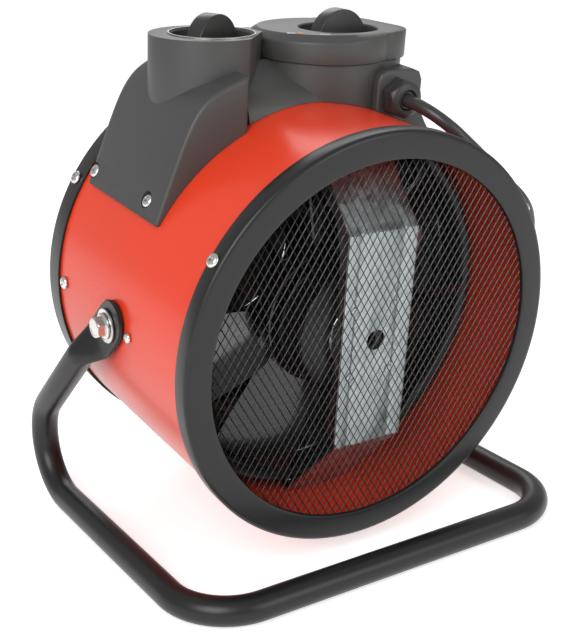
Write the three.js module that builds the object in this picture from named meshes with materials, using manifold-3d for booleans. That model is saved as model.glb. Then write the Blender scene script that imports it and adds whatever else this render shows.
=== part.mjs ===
// A portable forced air heater: a round steel drum with a fan and sheathed heating elements inside,
// a moulded control housing on top, and a bent tube stand that the drum tilts in.
// Millimetres, +Z up. The air goes in at the front (-Y) and leaves warm at the back (+Y).
// The origin is on the floor, under the middle of the stand.
import * as THREE from 'three';
import { mergeVertices } from 'three/addons/utils/BufferGeometryUtils.js';
import Module from 'manifold-3d';

const wasm = await Module();
wasm.setup();

// ---- Driving dimensions ----------------------------------------------------------------------

const fit = 0.3; // gap kept between pieces that touch

// Drum. Its own frame has y = 0 on the front face and z = 0 on the axis.
const barrelRadius = 136.5;
const barrelWall = 1.2;
const drumLength = 203.7;
const drumSides = 36;
const rimWall = 3.2; // band and lip of the front rim
const rimDepth = 13;
const rimEdge = 2; // rounding of the rim's front edge
const rimLip = 14.5; // reach of the rim's lip inside the barrel's outer face
const outletWall = 1.5; // band of the rear ring
const outletLip = 1.8;
const outletDepth = 16.6;
const outletReach = 15.5; // reach of the rear ring's lip inside the barrel's outer face

// Intake mesh: diamonds, coarser than the real expanded metal
const meshThickness = 1;
const meshPitchX = 27;
const meshPitchZ = 44;
const meshStrand = 2.4;
const meshBorder = 3; // plain edge beyond the rim's opening

// Outlet grille: a pressed plate with rings of slots
const grilleThickness = 1.6;
const grilleHub = 20;
const grilleRings = 3;
const grilleSectors = 9;
const grilleBar = 4.5;

// Motor bracket: a bent strap from the barrel's top to its bottom
const bracketFace = 8; // from the front face of the drum
const bracketWidth = 53;
const bracketShift = 3.5; // to the right of the axis
const bracketThickness = 2;
const bracketUpright = 73.5; // half the height of its flat front
const bracketFootStart = 60;
const bracketFootEnd = 80;
const bracketScrewDepth = 72;
const bracketScrewX = 15;

// Motor, fan and shroud, along the drum's axis
const motorRadius = 42;
const motorWall = 1.5;
const motorFront = 10.3; // front end of the bearing boss
const bellStart = 21;
const canStart = 28.3;
const canLength = 25.7;
const bellRadius = 30; // flat of the front bell
const bearingRadius = 11;
const bearingWidth = 6.4;
const shaftRadius = 4;
const shaftLength = 62;
const statorBore = 24;
const rotorClearance = 0.6;
const fanHubRadius = 48;
const fanHubStart = 55;
const fanHubDepth = 13;
const fanHubWall = 2.5;
const fanBossLength = 18;
const fanBossRadius = 11;
const fanRadius = 117;
const fanBlades = 7;
const bladeThickness = 1.5;
const bladeRootChord = 30;
const bladeTipChord = 58;
const bladeRootPitch = 38; // degrees from the plane of the fan
const bladeTipPitch = 24;
const bladePlane = 68; // middle of the blades, from the drum's front face
const fanTipGap = 2.5;
const shroudMouth = 60; // front edge of the shroud
const shroudFlare = 6;
const shroudLength = 24;
const sheetWall = 1.2;

// Heat shield, elements and their frame
const shieldGap = 11.3; // between the shield and the barrel
const shieldShort = 18.7; // from the shield's rear end to the drum's
const frameStart = 104;
const frameThickness = 2;
const frameHub = 24;
const frameLegWidth = 12;
const elementRadius = 4;
const outerLoop = 98;
const innerLoop = 60;
const elementGap = 14; // degrees, half the gap at the top of a loop
const terminalLength = 6;
const cutoutRadius = 12;
const cutoutLength = 9;

// Control housing
const housingFront = 79;
const housingLength = 101.5;
const housingWall = 2.5;
const footAngle = 58.8; // degrees from the top
const footThickness = 3.1;
const crownX = 55.2;
const crownDrop = 17.4; // from the deck down to the crown of the skirt
const towerY = 130; // middle of both towers
const deckRise = 40.3; // from the barrel's radius to the deck, at towerY
const deckSlope = 3; // degrees, down to the rear
const deckWall = 3;
const leftTowerX = -54;
const leftTowerRadius = 42;
const rightTowerX = 30;
const rightTowerRadius = 47.5;
const capOverhang = 2.2;
const capBand = 16.5; // from the deck down to the right tower's rim
const capWall = 2.2;
const blockRight = 83.3; // right side of the block behind the right tower
const blockFront = 89;
const blockRear = 171;
const blockCorner = 24;

// Knobs and what they turn
const recessRadius = 26.5;
const recessDepth = 8;
const dialRingWidth = 2.2;
const dialRingThickness = 1;
const knobBaseRadius = 24;
const knobBaseThickness = 3;
const gripRadius = 19.8;
const gripThickness = 12;
const leftKnob = { x: -54, y: 130, turn: 35 };
const rightKnob = { x: 38, y: 121, turn: 0 };
const spindleRadius = 3;
const spindleInKnob = 10;
const thermostatSize = { x: 30, y: 30, z: 22 };
const selectorSize = { x: 34, y: 32, z: 20 };
const terminalSize = { x: 26, y: 34, z: 14 };
const terminalPlace = { x: 72, y: 140 };

// Cable gland on the housing's front wall
const glandX = 59.5;
const glandDrop = 21.4; // below the crown
const glandAcrossFlats = 23.5;
const glandStud = 9.8; // radius
const glandStudLength = 13;
const glandCollar = 5.2;
const glandNose = 8.2; // radius
const glandNoseLength = 4.5;
const domeNutLength = 7.2;
const domeNutMouth = 6.6; // radius
const locknutThickness = 5;

// Screws
const screwHeadRadius = 4.6;
const screwHeadHeight = 2.6;
const screwShank = 1.9; // radius
const screwLength = 7;
const screwHoleGap = 0.4;
const stopScrewHead = 3.5; // radius of the screws beside the tilt bolts

// Stand
const tubeRadius = 9.5;
const tubeWall = 1.7;
const tubeSides = 12;
const standDepth = 235.7; // between the middles of the front bar and of the rear bends
const rearBend = 38;
const frontBend = 42;
const pivotBehindBar = 129.1;
const pivotHeight = 160.3;
const pivotFromFace = 104; // along the drum
const restTilt = 5.5; // degrees, drum nose down
const eyeGap = 0.4; // between the barrel and the eye
const eyeHalfWidth = 15;
const eyeReach = 19.5; // beyond the bolt
const eyeFlat = 16; // flat length below the bolt
const eyeTaper = 26; // from flat to round
const drainHole = 3; // radius

// Tilt bolts
const boltRadius = 4;
const boltHoleGap = 0.3;
const washerRadius = 11.5;
const washerThickness = 1.6;
const boltFlange = 8.8; // radius
const boltFlangeHeight = 1.8;
const boltHead = 5.6; // height of the hexagon
const boltAcrossFlats = 13;
const nutRadius = 9;
const nutThickness = 6;

// Cord
const cordRadius = 4.3;
const cordSides = 8;
const cordSteps = 38;
const coilInner = 43.5; // radius of the innermost turn's middle line
const coilPitch = 9.2; // between turns, and between layers
const coilTurns = 2; // in each of the two layers
const coilCentre = { x: 38, y: 182 };
const coilStart = 14; // degrees, where the cord joins the lowest turn
const coilSteps = 24; // in a turn
const coilSides = 6;
const cordFloat = 0.1; // over the floor
const cordBend = 34; // radius of the bend just out of the gland
const plugRadius = 18.5;
const plugLength = 34;
const plugNeck = 7;
const plugNeckLength = 16;
const pinRadius = 2.4;
const pinLength = 19;
const pinSpacing = 19;

// ---- Sizes that follow from those above --------------------------------------------------------

const barrelInner = barrelRadius - barrelWall;
const shieldRadius = barrelInner - shieldGap;
const shieldEnd = drumLength - shieldShort;
const rimOpening = barrelRadius - rimLip;
const outletOpening = barrelRadius - outletReach;
const deckHeight = barrelRadius + deckRise;
const crownHeight = deckHeight - crownDrop;
const capSeat = deckHeight - capBand;
const glandHeight = crownHeight - glandDrop;

// ---- Helpers ---------------------------------------------------------------------------------

const rad = THREE.MathUtils.degToRad;
const v2 = (x, y) => new THREE.Vector2(x, y);
const v3 = (x, y, z) => new THREE.Vector3(x, y, z);

// A solid for joining and cutting, from a closed geometry
function solid(geometry) {
  const bare = geometry.clone();
  for (const name of Object.keys(bare.attributes)) {
    if (name !== 'position') bare.deleteAttribute(name);
  }
  const merged = mergeVertices(bare, 1e-4);
  const index = merged.index.array;
  const faces = [];
  for (let i = 0; i < index.length; i += 3) {
    const [a, b, c] = [index[i], index[i + 1], index[i + 2]];
    if (a !== b && b !== c && c !== a) faces.push(a, b, c);
  }
  const mesh = new wasm.Mesh({
    numProp: 3,
    vertProperties: new Float32Array(merged.attributes.position.array),
    triVerts: new Uint32Array(faces),
  });
  return new wasm.Manifold(mesh);
}

// A geometry from a joined or cut solid
function shell(body) {
  const mesh = body.getMesh();
  const geometry = new THREE.BufferGeometry();
  geometry.setAttribute('position', new THREE.BufferAttribute(mesh.vertProperties, 3));
  geometry.setIndex(new THREE.BufferAttribute(mesh.triVerts, 1));
  return geometry;
}

const join = (...bodies) => bodies.reduce((whole, body) => whole.add(body));
const cut = (body, ...tools) => tools.reduce((rest, tool) => rest.subtract(tool), body);

// A closed geometry through rings of points, with flat ends
function loft(rings) {
  const sides = rings[0].length;
  const points = rings.flat();
  const faces = [];
  for (let r = 0; r + 1 < rings.length; r++) {
    for (let s = 0; s < sides; s++) {
      const next = (s + 1) % sides;
      const [a, b] = [r * sides + s, r * sides + next];
      const [c, d] = [a + sides, b + sides];
      faces.push(a, b, d, a, d, c);
    }
  }
  const last = (rings.length - 1) * sides;
  for (const [a, b, c] of capFaces(rings[0])) faces.push(a, c, b);
  for (const [a, b, c] of capFaces(rings.at(-1))) faces.push(last + a, last + b, last + c);
  return closed(points, faces);
}

// Triangles over one flat ring, in its own order
function capFaces(ring) {
  const normal = v3(0, 0, 0);
  ring.forEach((p, i) => normal.add(v3().crossVectors(p, ring[(i + 1) % ring.length])));
  normal.normalize();
  const side = v3().subVectors(ring[1], ring[0]).normalize();
  const up = v3().crossVectors(normal, side);
  const flat = ring.map((p) => v2(p.dot(side), p.dot(up)));
  return THREE.ShapeUtils.triangulateShape(flat, []);
}

// An indexed geometry whose faces point out
function closed(points, faces) {
  let volume = 0;
  for (let i = 0; i < faces.length; i += 3) {
    const [a, b, c] = [points[faces[i]], points[faces[i + 1]], points[faces[i + 2]]];
    volume += a.dot(v3().crossVectors(b, c));
  }
  const index = [...faces];
  if (volume < 0) {
    for (let i = 0; i < index.length; i += 3) [index[i], index[i + 1]] = [index[i + 1], index[i]];
  }
  const geometry = new THREE.BufferGeometry().setFromPoints(points);
  geometry.setIndex(index);
  return geometry;
}

// Turned shapes, about the drum's axis (Y)
function turned(profile, sides = drumSides) {
  const outline = profile.map(([r, y]) => v2(r, y));
  if (THREE.ShapeUtils.isClockWise(outline)) outline.reverse();
  return new THREE.LatheGeometry([...outline, outline[0]], sides);
}
const turnedOnAxis = (profile, sides) =>
  new THREE.LatheGeometry(profile.map(([r, y]) => v2(r, y)), sides);

// A cylinder along Y, from one end to the other
function rod(radius, start, end, sides) {
  return new THREE.CylinderGeometry(radius, radius, end - start, sides).translate(0, (start + end) / 2, 0);
}
function pipe(inner, outer, start, end, sides) {
  return turned([[inner, start], [outer, start], [outer, end], [inner, end]], sides);
}
// A cylinder along Z
function post(radius, x, y, bottom, top, sides) {
  return rod(radius, bottom, top, sides).rotateX(Math.PI / 2).translate(x, y, 0);
}
function box(x0, x1, y0, y1, z0, z1) {
  const size = new THREE.BoxGeometry(x1 - x0, y1 - y0, z1 - z0);
  return size.translate((x0 + x1) / 2, (y0 + y1) / 2, (z0 + z1) / 2);
}
// A flat outline in X and Z, as a plate from y = start to y = end
function plate(shape, start, end, curveSegments = 6) {
  const flat = new THREE.ExtrudeGeometry(shape, { depth: end - start, bevelEnabled: false, curveSegments });
  return flat.rotateX(Math.PI / 2).translate(0, end, 0);
}
// A flat outline in X and Y, as a prism from bottom to top
function prism(shape, bottom, top, curveSegments = 4) {
  const block = new THREE.ExtrudeGeometry(shape, { depth: top - bottom, bevelEnabled: false, curveSegments });
  return block.translate(0, 0, bottom);
}
const hexRadius = (acrossFlats) => acrossFlats / 2 / Math.cos(Math.PI / 6);

const circlePoints = (radius, sides) =>
  Array.from({ length: sides }, (_, i) => {
    const angle = (2 * Math.PI * i) / sides;
    return v2(radius * Math.sin(angle), radius * Math.cos(angle));
  });

// ---- Scene graph -----------------------------------------------------------------------------

const heater = new THREE.Group(); // the whole object
const tilting = new THREE.Group(); // all that tilts, with its origin on the tilt axis
const drum = new THREE.Group(); // the drum's own frame
const deck = new THREE.Group(); // the sloping top of the control housing
const pivotY = pivotBehindBar - standDepth / 2;
tilting.position.set(0, pivotY, pivotHeight);
tilting.rotation.x = rad(restTilt);
drum.position.y = -pivotFromFace;
deck.position.set(0, towerY, deckHeight);
deck.rotation.x = -rad(deckSlope);
heater.add(tilting);
tilting.add(drum);
drum.add(deck);
heater.updateMatrixWorld(true);

const paint = (color, roughness, metalness) =>
  new THREE.MeshStandardMaterial({ color, roughness, metalness });
const finish = {
  red: () => paint(0xd4301c, 0.3, 0.1),
  blackPaint: () => paint(0x1c1d1d, 0.4, 0.1),
  blackPlastic: () => paint(0x3a3c3b, 0.5, 0),
  knobPlastic: () => paint(0x2b2b28, 0.45, 0),
  rubber: () => paint(0x26282a, 0.6, 0),
  zinc: () => paint(0xc9ccce, 0.35, 0.9),
  galvanised: () => paint(0xb4b8b8, 0.45, 0.8),
  aluminium: () => paint(0xc4c6c8, 0.35, 0.9),
  copperSteel: () => paint(0x8a8078, 0.5, 0.7),
  element: () => paint(0x5c5650, 0.5, 0.7),
  brass: () => paint(0xb99a55, 0.35, 0.9),
  ceramic: () => paint(0xe4e0d4, 0.6, 0),
};

function add(parent, name, geometry, material, place = [0, 0, 0], turn = [0, 0, 0]) {
  const mesh = new THREE.Mesh(geometry, material);
  mesh.name = name;
  mesh.position.set(...place);
  mesh.rotation.set(...turn);
  parent.add(mesh);
  return mesh;
}

// ---- Screws in the drum: where they are and the holes they need ------------------------------

const bandInner = barrelRadius + fit; // inner radius of whatever sits round the barrel
const rimRadius = bandInner + rimWall;
const outletRadius = bandInner + outletWall;
const footRadius = bandInner + footThickness;
const rimScrewDepth = 8;
const sides = [['left', -1], ['right', 1]];
const screwKinds = [
  { name: 'rim_screw', depth: rimScrewDepth, angle: 58, seat: rimRadius },
  { name: 'outlet_screw', depth: drumLength - 7.7, angle: 59.6, seat: outletRadius },
  { name: 'side_screw', depth: drumLength - 24.7, angle: 89.3, seat: barrelRadius },
  { name: 'stop_screw', depth: pivotFromFace - 23.5, angle: 90, seat: barrelRadius, head: stopScrewHead },
  { name: 'housing_front_screw', depth: housingFront + 19.8, angle: 54.3, seat: footRadius },
  { name: 'housing_rear_screw', depth: housingFront + housingLength - 6.5, angle: 55, seat: footRadius },
];
const bracketAngle = THREE.MathUtils.radToDeg(Math.asin(bracketScrewX / barrelInner));

// Along a radius of the drum, at an angle from the top
function radial(geometry, depth, degrees) {
  return geometry.rotateX(Math.PI / 2).rotateY(rad(degrees)).translate(0, depth, 0);
}
const screwHoles = screwKinds.flatMap(({ depth, angle, seat }) =>
  sides.map(([, side]) => {
    const hole = rod(screwShank + screwHoleGap, seat - screwLength - 2, seat + 2, 6);
    return solid(radial(hole, depth, side * angle));
  }));
const bracketHoles = [-1, 1].map((side) => {
  const hole = rod(screwShank + screwHoleGap, barrelInner - 8, barrelRadius + 4, 6);
  return solid(radial(hole, bracketScrewDepth, 180 + side * bracketAngle));
});
const tiltHoles = [-1, 1].map((side) => {
  const hole = rod(boltRadius + boltHoleGap + 0.1, barrelInner - 8, barrelRadius + 8, 12);
  return solid(radial(hole, pivotFromFace, side * 90));
});

// ---- Drum ------------------------------------------------------------------------------------

const lipBack = rimWall + fit;
const barrelEnd = drumLength - outletLip - fit;
const barrelShell = cut(
  solid(pipe(barrelInner, barrelRadius, lipBack, barrelEnd)),
  ...screwHoles, ...bracketHoles, ...tiltHoles,
);
add(drum, 'barrel_shell', shell(barrelShell), finish.red());

const rimProfile = [
  [rimOpening, rimEdge * 0.4], [rimRadius - rimEdge, 0], [rimRadius, rimEdge], [rimRadius, rimDepth],
  [bandInner, rimDepth], [bandInner, rimWall],
  [rimOpening, rimWall],
];
add(drum, 'intake_rim', shell(cut(solid(turned(rimProfile)), ...screwHoles)), finish.blackPaint());

const bandStart = drumLength - outletDepth;
const outletProfile = [
  [bandInner, bandStart], [outletRadius, bandStart], [outletRadius, drumLength],
  [outletOpening, drumLength], [outletOpening, drumLength - outletLip], [bandInner, drumLength - outletLip],
];
add(drum, 'outlet_ring', shell(cut(solid(turned(outletProfile)), ...screwHoles)), finish.blackPaint());

// Expanded mesh: a round plate with rows of diamonds, trimmed at its border
function intakeMesh() {
  const clearRadius = rimOpening + meshBorder;
  const halfX = (meshPitchX - meshStrand * 1.3) / 2;
  const halfZ = (meshPitchZ - meshStrand * 2.1) / 2;
  const columns = Math.ceil((2 * clearRadius) / meshPitchX);
  const rows = Math.ceil((2 * clearRadius) / meshPitchZ) * 2;
  const diamonds = [];
  for (let row = -rows; row <= rows; row++) {
    for (let column = -columns; column <= columns; column++) {
      const x = (column + (row % 2 === 0 ? 0 : 0.5)) * meshPitchX;
      const z = (row * meshPitchZ) / 2;
      if (Math.hypot(x, z) > clearRadius) continue;
      const corners = [v2(x - halfX, z), v2(x, z - halfZ), v2(x + halfX, z), v2(x, z + halfZ)];
      diamonds.push(solid(plate(new THREE.Shape(corners), lipBack - 1, lipBack + meshThickness + 1)));
    }
  }
  const opening = solid(rod(clearRadius, lipBack - 2, lipBack + meshThickness + 2, drumSides));
  const gaps = wasm.Manifold.union(diamonds).intersect(opening);
  return solid(rod(barrelInner - fit, lipBack, lipBack + meshThickness, drumSides)).subtract(gaps);
}
add(drum, 'intake_mesh', shell(intakeMesh()), finish.blackPaint());

// Outlet grille: rings of slots between round bars and spokes
function outletGrille() {
  const back = drumLength - outletLip - fit;
  const outline = new THREE.Shape(circlePoints(barrelInner - fit, drumSides));
  const ringPitch = (outletOpening - grilleHub) / grilleRings;
  for (let ring = 0; ring < grilleRings; ring++) {
    const inner = grilleHub + ring * ringPitch + grilleBar / 2;
    const outer = inner + ringPitch - grilleBar;
    for (let sector = 0; sector < grilleSectors; sector++) {
      const start = (2 * Math.PI * sector) / grilleSectors;
      const end = (2 * Math.PI * (sector + 1)) / grilleSectors;
      const slot = new THREE.Path();
      slot.absarc(0, 0, outer, start + grilleBar / 2 / outer, end - grilleBar / 2 / outer, false);
      slot.absarc(0, 0, inner, end - grilleBar / 2 / inner, start + grilleBar / 2 / inner, true);
      slot.closePath();
      outline.holes.push(slot);
    }
  }
  return plate(outline, back - grilleThickness, back, 2);
}
add(drum, 'outlet_grille', outletGrille(), finish.blackPaint());

// ---- Motor bracket ---------------------------------------------------------------------------

// A bent strip of sheet, seen from its edge: the points are along its middle
function strip(points, thickness) {
  const edge = (side) => points.map((p, i) => {
    const before = points[Math.max(i - 1, 0)];
    const after = points[Math.min(i + 1, points.length - 1)];
    const inDirection = v2().subVectors(i ? p : after, i ? before : p).normalize();
    const outDirection = v2().subVectors(i + 1 < points.length ? after : p, i + 1 < points.length ? p : before);
    outDirection.normalize();
    const normal = v2(-(inDirection.y + outDirection.y), inDirection.x + outDirection.x).normalize();
    const reach = thickness / 2 / (normal.x * -inDirection.y + normal.y * inDirection.x);
    return v2(p.x + side * reach * normal.x, p.y + side * reach * normal.y);
  });
  return new THREE.Shape([...edge(1), ...edge(-1).reverse()]);
}
function motorBracket() {
  const seat = barrelInner - fit;
  const padInner = seat - bracketThickness;
  const footHeight = seat - bracketThickness / 2;
  const front = bracketFace + bracketThickness / 2;
  const line = [
    v2(bracketFootStart + 2, footHeight), v2(front, bracketUpright),
    v2(front, -bracketUpright), v2(bracketFootStart + 2, -footHeight),
  ];
  const left = bracketShift - bracketWidth / 2;
  const right = bracketShift + bracketWidth / 2;
  const strap = new THREE.ExtrudeGeometry(strip(line, bracketThickness), {
    depth: bracketWidth, bevelEnabled: false,
  });
  // the outline's x is the drum's y and its y is the drum's z
  strap.applyMatrix4(new THREE.Matrix4().makeBasis(v3(0, 1, 0), v3(0, 0, 1), v3(1, 0, 0)));
  strap.translate(left, 0, 0);
  const inside = solid(rod(seat, 0, bracketFootEnd, drumSides));
  const pads = solid(pipe(padInner, seat, bracketFootStart, bracketFootEnd))
    .intersect(solid(box(left, right, 0, bracketFootEnd, -seat - 1, seat + 1)));
  const axle = solid(rod(shaftRadius + 3, 0, bracketFace + 3 * bracketThickness, 12));
  return cut(join(solid(strap).intersect(inside), pads), ...bracketHoles, axle);
}
add(drum, 'motor_bracket', shell(motorBracket()), finish.galvanised());

// ---- Motor -----------------------------------------------------------------------------------

const motorSides = 18;
const bossRadius = bearingRadius + fit + 2.7;
const bearingSeat = bearingRadius + fit;
const frontPocket = bellStart - 1;
const frontPocketEnd = frontPocket + bearingWidth + 2 * fit;
const bellBack = bellStart + motorWall;
const canFront = canStart;
const canRear = canStart + canLength;
const shaftHole = shaftRadius + 1;
add(drum, 'motor_front_bell', turned([
  [shaftHole, motorFront], [bossRadius, motorFront], [bossRadius, bellStart - 1], [bellRadius, bellStart],
  [motorRadius, canFront - fit - 2], [motorRadius, canFront - fit],
  [bellRadius - 1, bellBack + 1], [bossRadius, frontPocketEnd],
  [bearingSeat, frontPocketEnd], [bearingSeat, frontPocket], [shaftHole, frontPocket],
], motorSides), finish.aluminium());

const canInner = motorRadius - motorWall;
const canFloor = canRear - motorWall;
const rearPocket = canFloor - bearingWidth - 2 * fit;
add(drum, 'motor_can', turned([
  [canInner, canFront], [motorRadius, canFront], [motorRadius, canRear], [shaftHole, canRear],
  [shaftHole, canFloor], [bearingSeat, canFloor], [bearingSeat, rearPocket], [bossRadius, rearPocket],
  [bossRadius, canFloor], [canInner, canFloor],
], motorSides), finish.blackPaint());

const bearing = (start) => pipe(shaftRadius + fit, bearingRadius, start, start + bearingWidth, motorSides);
add(drum, 'front_bearing', bearing(frontPocket + fit), finish.zinc());
add(drum, 'rear_bearing', bearing(rearPocket + fit), finish.zinc());

const coreStart = frontPocketEnd + 3.5;
const coreEnd = rearPocket - 1;
add(drum, 'motor_stator', pipe(statorBore, canInner - fit, coreStart, coreEnd, motorSides), finish.copperSteel());
const rotorRadius = statorBore - rotorClearance;
add(drum, 'motor_rotor', pipe(shaftRadius + fit, rotorRadius, coreStart, coreEnd, motorSides), finish.galvanised());
const shaftStart = frontPocket + fit;
add(drum, 'motor_shaft', rod(shaftRadius, shaftStart, shaftStart + shaftLength, 12), finish.zinc());

// ---- Fan and shroud --------------------------------------------------------------------------

// One blade: a thin curved sheet whose chord grows and whose pitch falls towards the tip
function blade() {
  const stations = 3;
  const chordPoints = 4;
  const camber = 0.08; // of the chord
  const rootRadius = fanHubRadius - fanHubWall / 2;
  const rings = [];
  for (let station = 0; station < stations; station++) {
    const along = station / (stations - 1);
    const radius = THREE.MathUtils.lerp(rootRadius, fanRadius, along);
    const chord = THREE.MathUtils.lerp(bladeRootChord, bladeTipChord, Math.sqrt(along));
    const pitch = rad(THREE.MathUtils.lerp(bladeRootPitch, bladeTipPitch, along));
    const upper = [];
    const lower = [];
    for (let k = 0; k < chordPoints; k++) {
      const across = k / (chordPoints - 1) - 0.5;
      const rise = camber * chord * (1 - 4 * across * across);
      for (const [list, offset] of [[upper, bladeThickness / 2], [lower, -bladeThickness / 2]]) {
        const round = across * chord * Math.cos(pitch) - (rise + offset) * Math.sin(pitch);
        const axial = across * chord * Math.sin(pitch) + (rise + offset) * Math.cos(pitch);
        const angle = round / radius;
        list.push(v3(radius * Math.sin(angle), bladePlane + axial, radius * Math.cos(angle)));
      }
    }
    rings.push([...upper, ...lower.reverse()]);
  }
  return loft(rings);
}
function fan() {
  const fanSides = 21;
  const hubEnd = fanHubStart + fanHubDepth;
  const webStart = fanHubStart + 4;
  const rim = solid(pipe(fanHubRadius - fanHubWall, fanHubRadius, fanHubStart, hubEnd, fanSides));
  const web = solid(pipe(shaftRadius + fit, fanHubRadius - fanHubWall / 2, webStart, webStart + fanHubWall, fanSides));
  const boss = solid(pipe(shaftRadius + fit, fanBossRadius, webStart, webStart + fanBossLength, fanSides));
  const one = solid(blade()).subtract(solid(rod(fanHubRadius - fanHubWall, 0, drumLength, fanSides)));
  const blades = Array.from({ length: fanBlades }, (_, i) => one.rotate([0, (360 / fanBlades) * i, 0]));
  return join(rim, web, boss, ...blades);
}
const fanBossEnd = fanHubStart + 4 + fanBossLength;
add(drum, 'fan', shell(fan()), finish.blackPlastic());
const nutEnd = Math.min(shaftStart + shaftLength, fanBossEnd + fit + 6);
const fanNut = cut(
  solid(rod(hexRadius(boltAcrossFlats), fanBossEnd + fit, nutEnd, 6)),
  solid(rod(shaftRadius + fit, fanBossEnd, nutEnd + 1, 12)),
);
add(drum, 'fan_nut', shell(fanNut), finish.zinc());

const throat = fanRadius + fanTipGap;
const shroudEnd = shroudMouth + shroudLength;
const shroudReach = barrelInner - fit;
add(drum, 'fan_shroud', turned([
  [throat + shroudFlare, shroudMouth], [throat, shroudMouth + shroudFlare], [throat, shroudEnd],
  [shroudReach, shroudEnd], [shroudReach, shroudEnd - sheetWall], [throat + sheetWall, shroudEnd - sheetWall],
  [throat + sheetWall, shroudMouth + shroudFlare + sheetWall / 2],
  [throat + shroudFlare + sheetWall, shroudMouth],
]), finish.blackPaint());

// ---- Heat shield and heating elements --------------------------------------------------------

const shieldFront = shroudEnd + fit;
const shieldInner = shieldRadius - sheetWall;
const shieldFlare = shroudReach - shieldRadius;
add(drum, 'heat_shield', turned([
  [shroudReach - 2 * sheetWall, shieldFront], [shroudReach, shieldFront], [shroudReach, shieldFront + sheetWall],
  [shieldRadius, shieldFront + sheetWall + shieldFlare / 2], [shieldRadius, shieldEnd],
  [shieldInner, shieldEnd], [shieldInner, shieldFront + shieldFlare / 2],
]), finish.galvanised());

const frameEnd = frameStart + frameThickness;
function elementFrame() {
  const hub = solid(rod(frameHub, frameStart, frameEnd, motorSides));
  const reach = shieldInner * Math.cos(Math.PI / drumSides) - fit;
  const legLength = Math.sqrt(reach ** 2 - (frameLegWidth / 2) ** 2);
  const leg = solid(box(-frameLegWidth / 2, frameLegWidth / 2, frameStart, frameEnd, 0, legLength));
  return join(hub, ...[60, 180, 300].map((angle) => leg.rotate([0, angle, 0])));
}
add(drum, 'element_frame', shell(elementFrame()), finish.galvanised());

// A loop of sheathed element that lies behind the frame, with its two cold ends turned forward
function elementLoop(radius) {
  const section = new THREE.Shape(circlePoints(elementRadius, 6));
  const loopDepth = frameEnd + fit + elementRadius;
  const corner = 2.5 * elementRadius;
  const path = new THREE.CurvePath();
  const arcPoint = (degrees, depth = loopDepth) =>
    v3(radius * Math.sin(rad(degrees)), depth, radius * Math.cos(rad(degrees)));
  const tangent = (degrees, sign) => v3(Math.cos(rad(degrees)), 0, -Math.sin(rad(degrees))).multiplyScalar(sign);
  const [start, end] = [elementGap, 360 - elementGap];
  const points = [];
  const bend = (degrees, sign) => {
    const turnEnd = arcPoint(degrees).add(tangent(degrees, sign * corner)).add(v3(0, -corner, 0));
    const turnMiddle = arcPoint(degrees).add(tangent(degrees, sign * corner * 0.7)).add(v3(0, -corner * 0.3, 0));
    return [turnMiddle, turnEnd, turnEnd.clone().add(v3(0, -terminalLength, 0))];
  };
  points.push(...bend(start, -1).reverse());
  const arcSteps = 18;
  for (let i = 0; i <= arcSteps; i++) points.push(arcPoint(start + ((end - start) * i) / arcSteps));
  points.push(...bend(end, 1));
  path.add(new THREE.CatmullRomCurve3(points, false, 'centripetal'));
  return new THREE.ExtrudeGeometry(section, { steps: points.length + 2, extrudePath: path, bevelEnabled: false });
}
add(drum, 'heating_element_outer', elementLoop(outerLoop), finish.element());
add(drum, 'heating_element_inner', elementLoop(innerLoop), finish.element());
add(drum, 'thermal_cutout', rod(cutoutRadius, frameStart - fit - cutoutLength, frameStart - fit, 16), finish.ceramic());

// ---- Control housing -------------------------------------------------------------------------

const skirtSteps = 6;
// Half the housing's section: a curve from the foot on the barrel up to the crown
function skirtSection(inset, depth) {
  const foot = v2(Math.sin(rad(footAngle)), Math.cos(rad(footAngle))).multiplyScalar(footRadius);
  const crown = v2(crownX, crownHeight);
  const footHandle = v2(foot.x - 27, foot.y + 70);
  const crownHandle = v2(crown.x + 39.8, crown.y - 11.4);
  const curve = new THREE.CubicBezierCurve(foot, footHandle, crownHandle, crown);
  const outer = curve.getPoints(skirtSteps);
  const shrink = (p) => p.clone().multiplyScalar(1 - inset / p.length());
  const right = outer.map(shrink);
  const under = foot.clone().multiplyScalar((barrelRadius - 12) / footRadius);
  const half = [under, ...right];
  const left = half.map((p) => v2(-p.x, p.y)).reverse();
  return [...half, ...left].map((p) => v3(p.x, depth, p.y));
}
function skirt(inset) {
  const rear = housingFront + housingLength;
  return solid(loft([
    skirtSection(inset, housingFront + inset),
    skirtSection(inset + 1, rear - 7),
    skirtSection(inset + 4.5, rear - inset),
  ]));
}
// The rounded block behind the right tower, seen from above
function blockOutline(grow) {
  const [x0, x1] = [rightTowerX, blockRight + grow];
  const [y0, y1] = [blockFront - grow, blockRear + grow];
  const corner = blockCorner + grow;
  const shape = new THREE.Shape();
  shape.moveTo(x0, y0);
  shape.absarc(x1 - corner, y0 + corner, corner, -Math.PI / 2, 0, false);
  shape.absarc(x1 - corner, y1 - corner, corner, 0, Math.PI / 2, false);
  shape.lineTo(x0, y1);
  return shape;
}
const towerSides = 24;
function rightTower(grow, bottom, top) {
  return join(
    solid(post(rightTowerRadius + grow, rightTowerX, towerY, bottom, top, towerSides)),
    solid(prism(blockOutline(grow), bottom, top)),
  );
}
const tall = deckHeight + 20;
const towerBase = barrelRadius * 0.6;
const leftTower = (grow, top) =>
  solid(post(leftTowerRadius + grow, leftTowerX, towerY, towerBase, top, towerSides));
const webHalf = leftTowerRadius - 1;
const web = (inset, top) =>
  solid(box(leftTowerX, rightTowerX, towerY - webHalf + inset, towerY + webHalf - inset, towerBase, top));

// Everything over the sloping deck, or over a plane that lies below it
function aboveDeck(below) {
  const slab = box(-300, 300, -300, 300, -below, 300);
  return solid(slab.applyMatrix4(deck.matrix));
}
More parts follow.
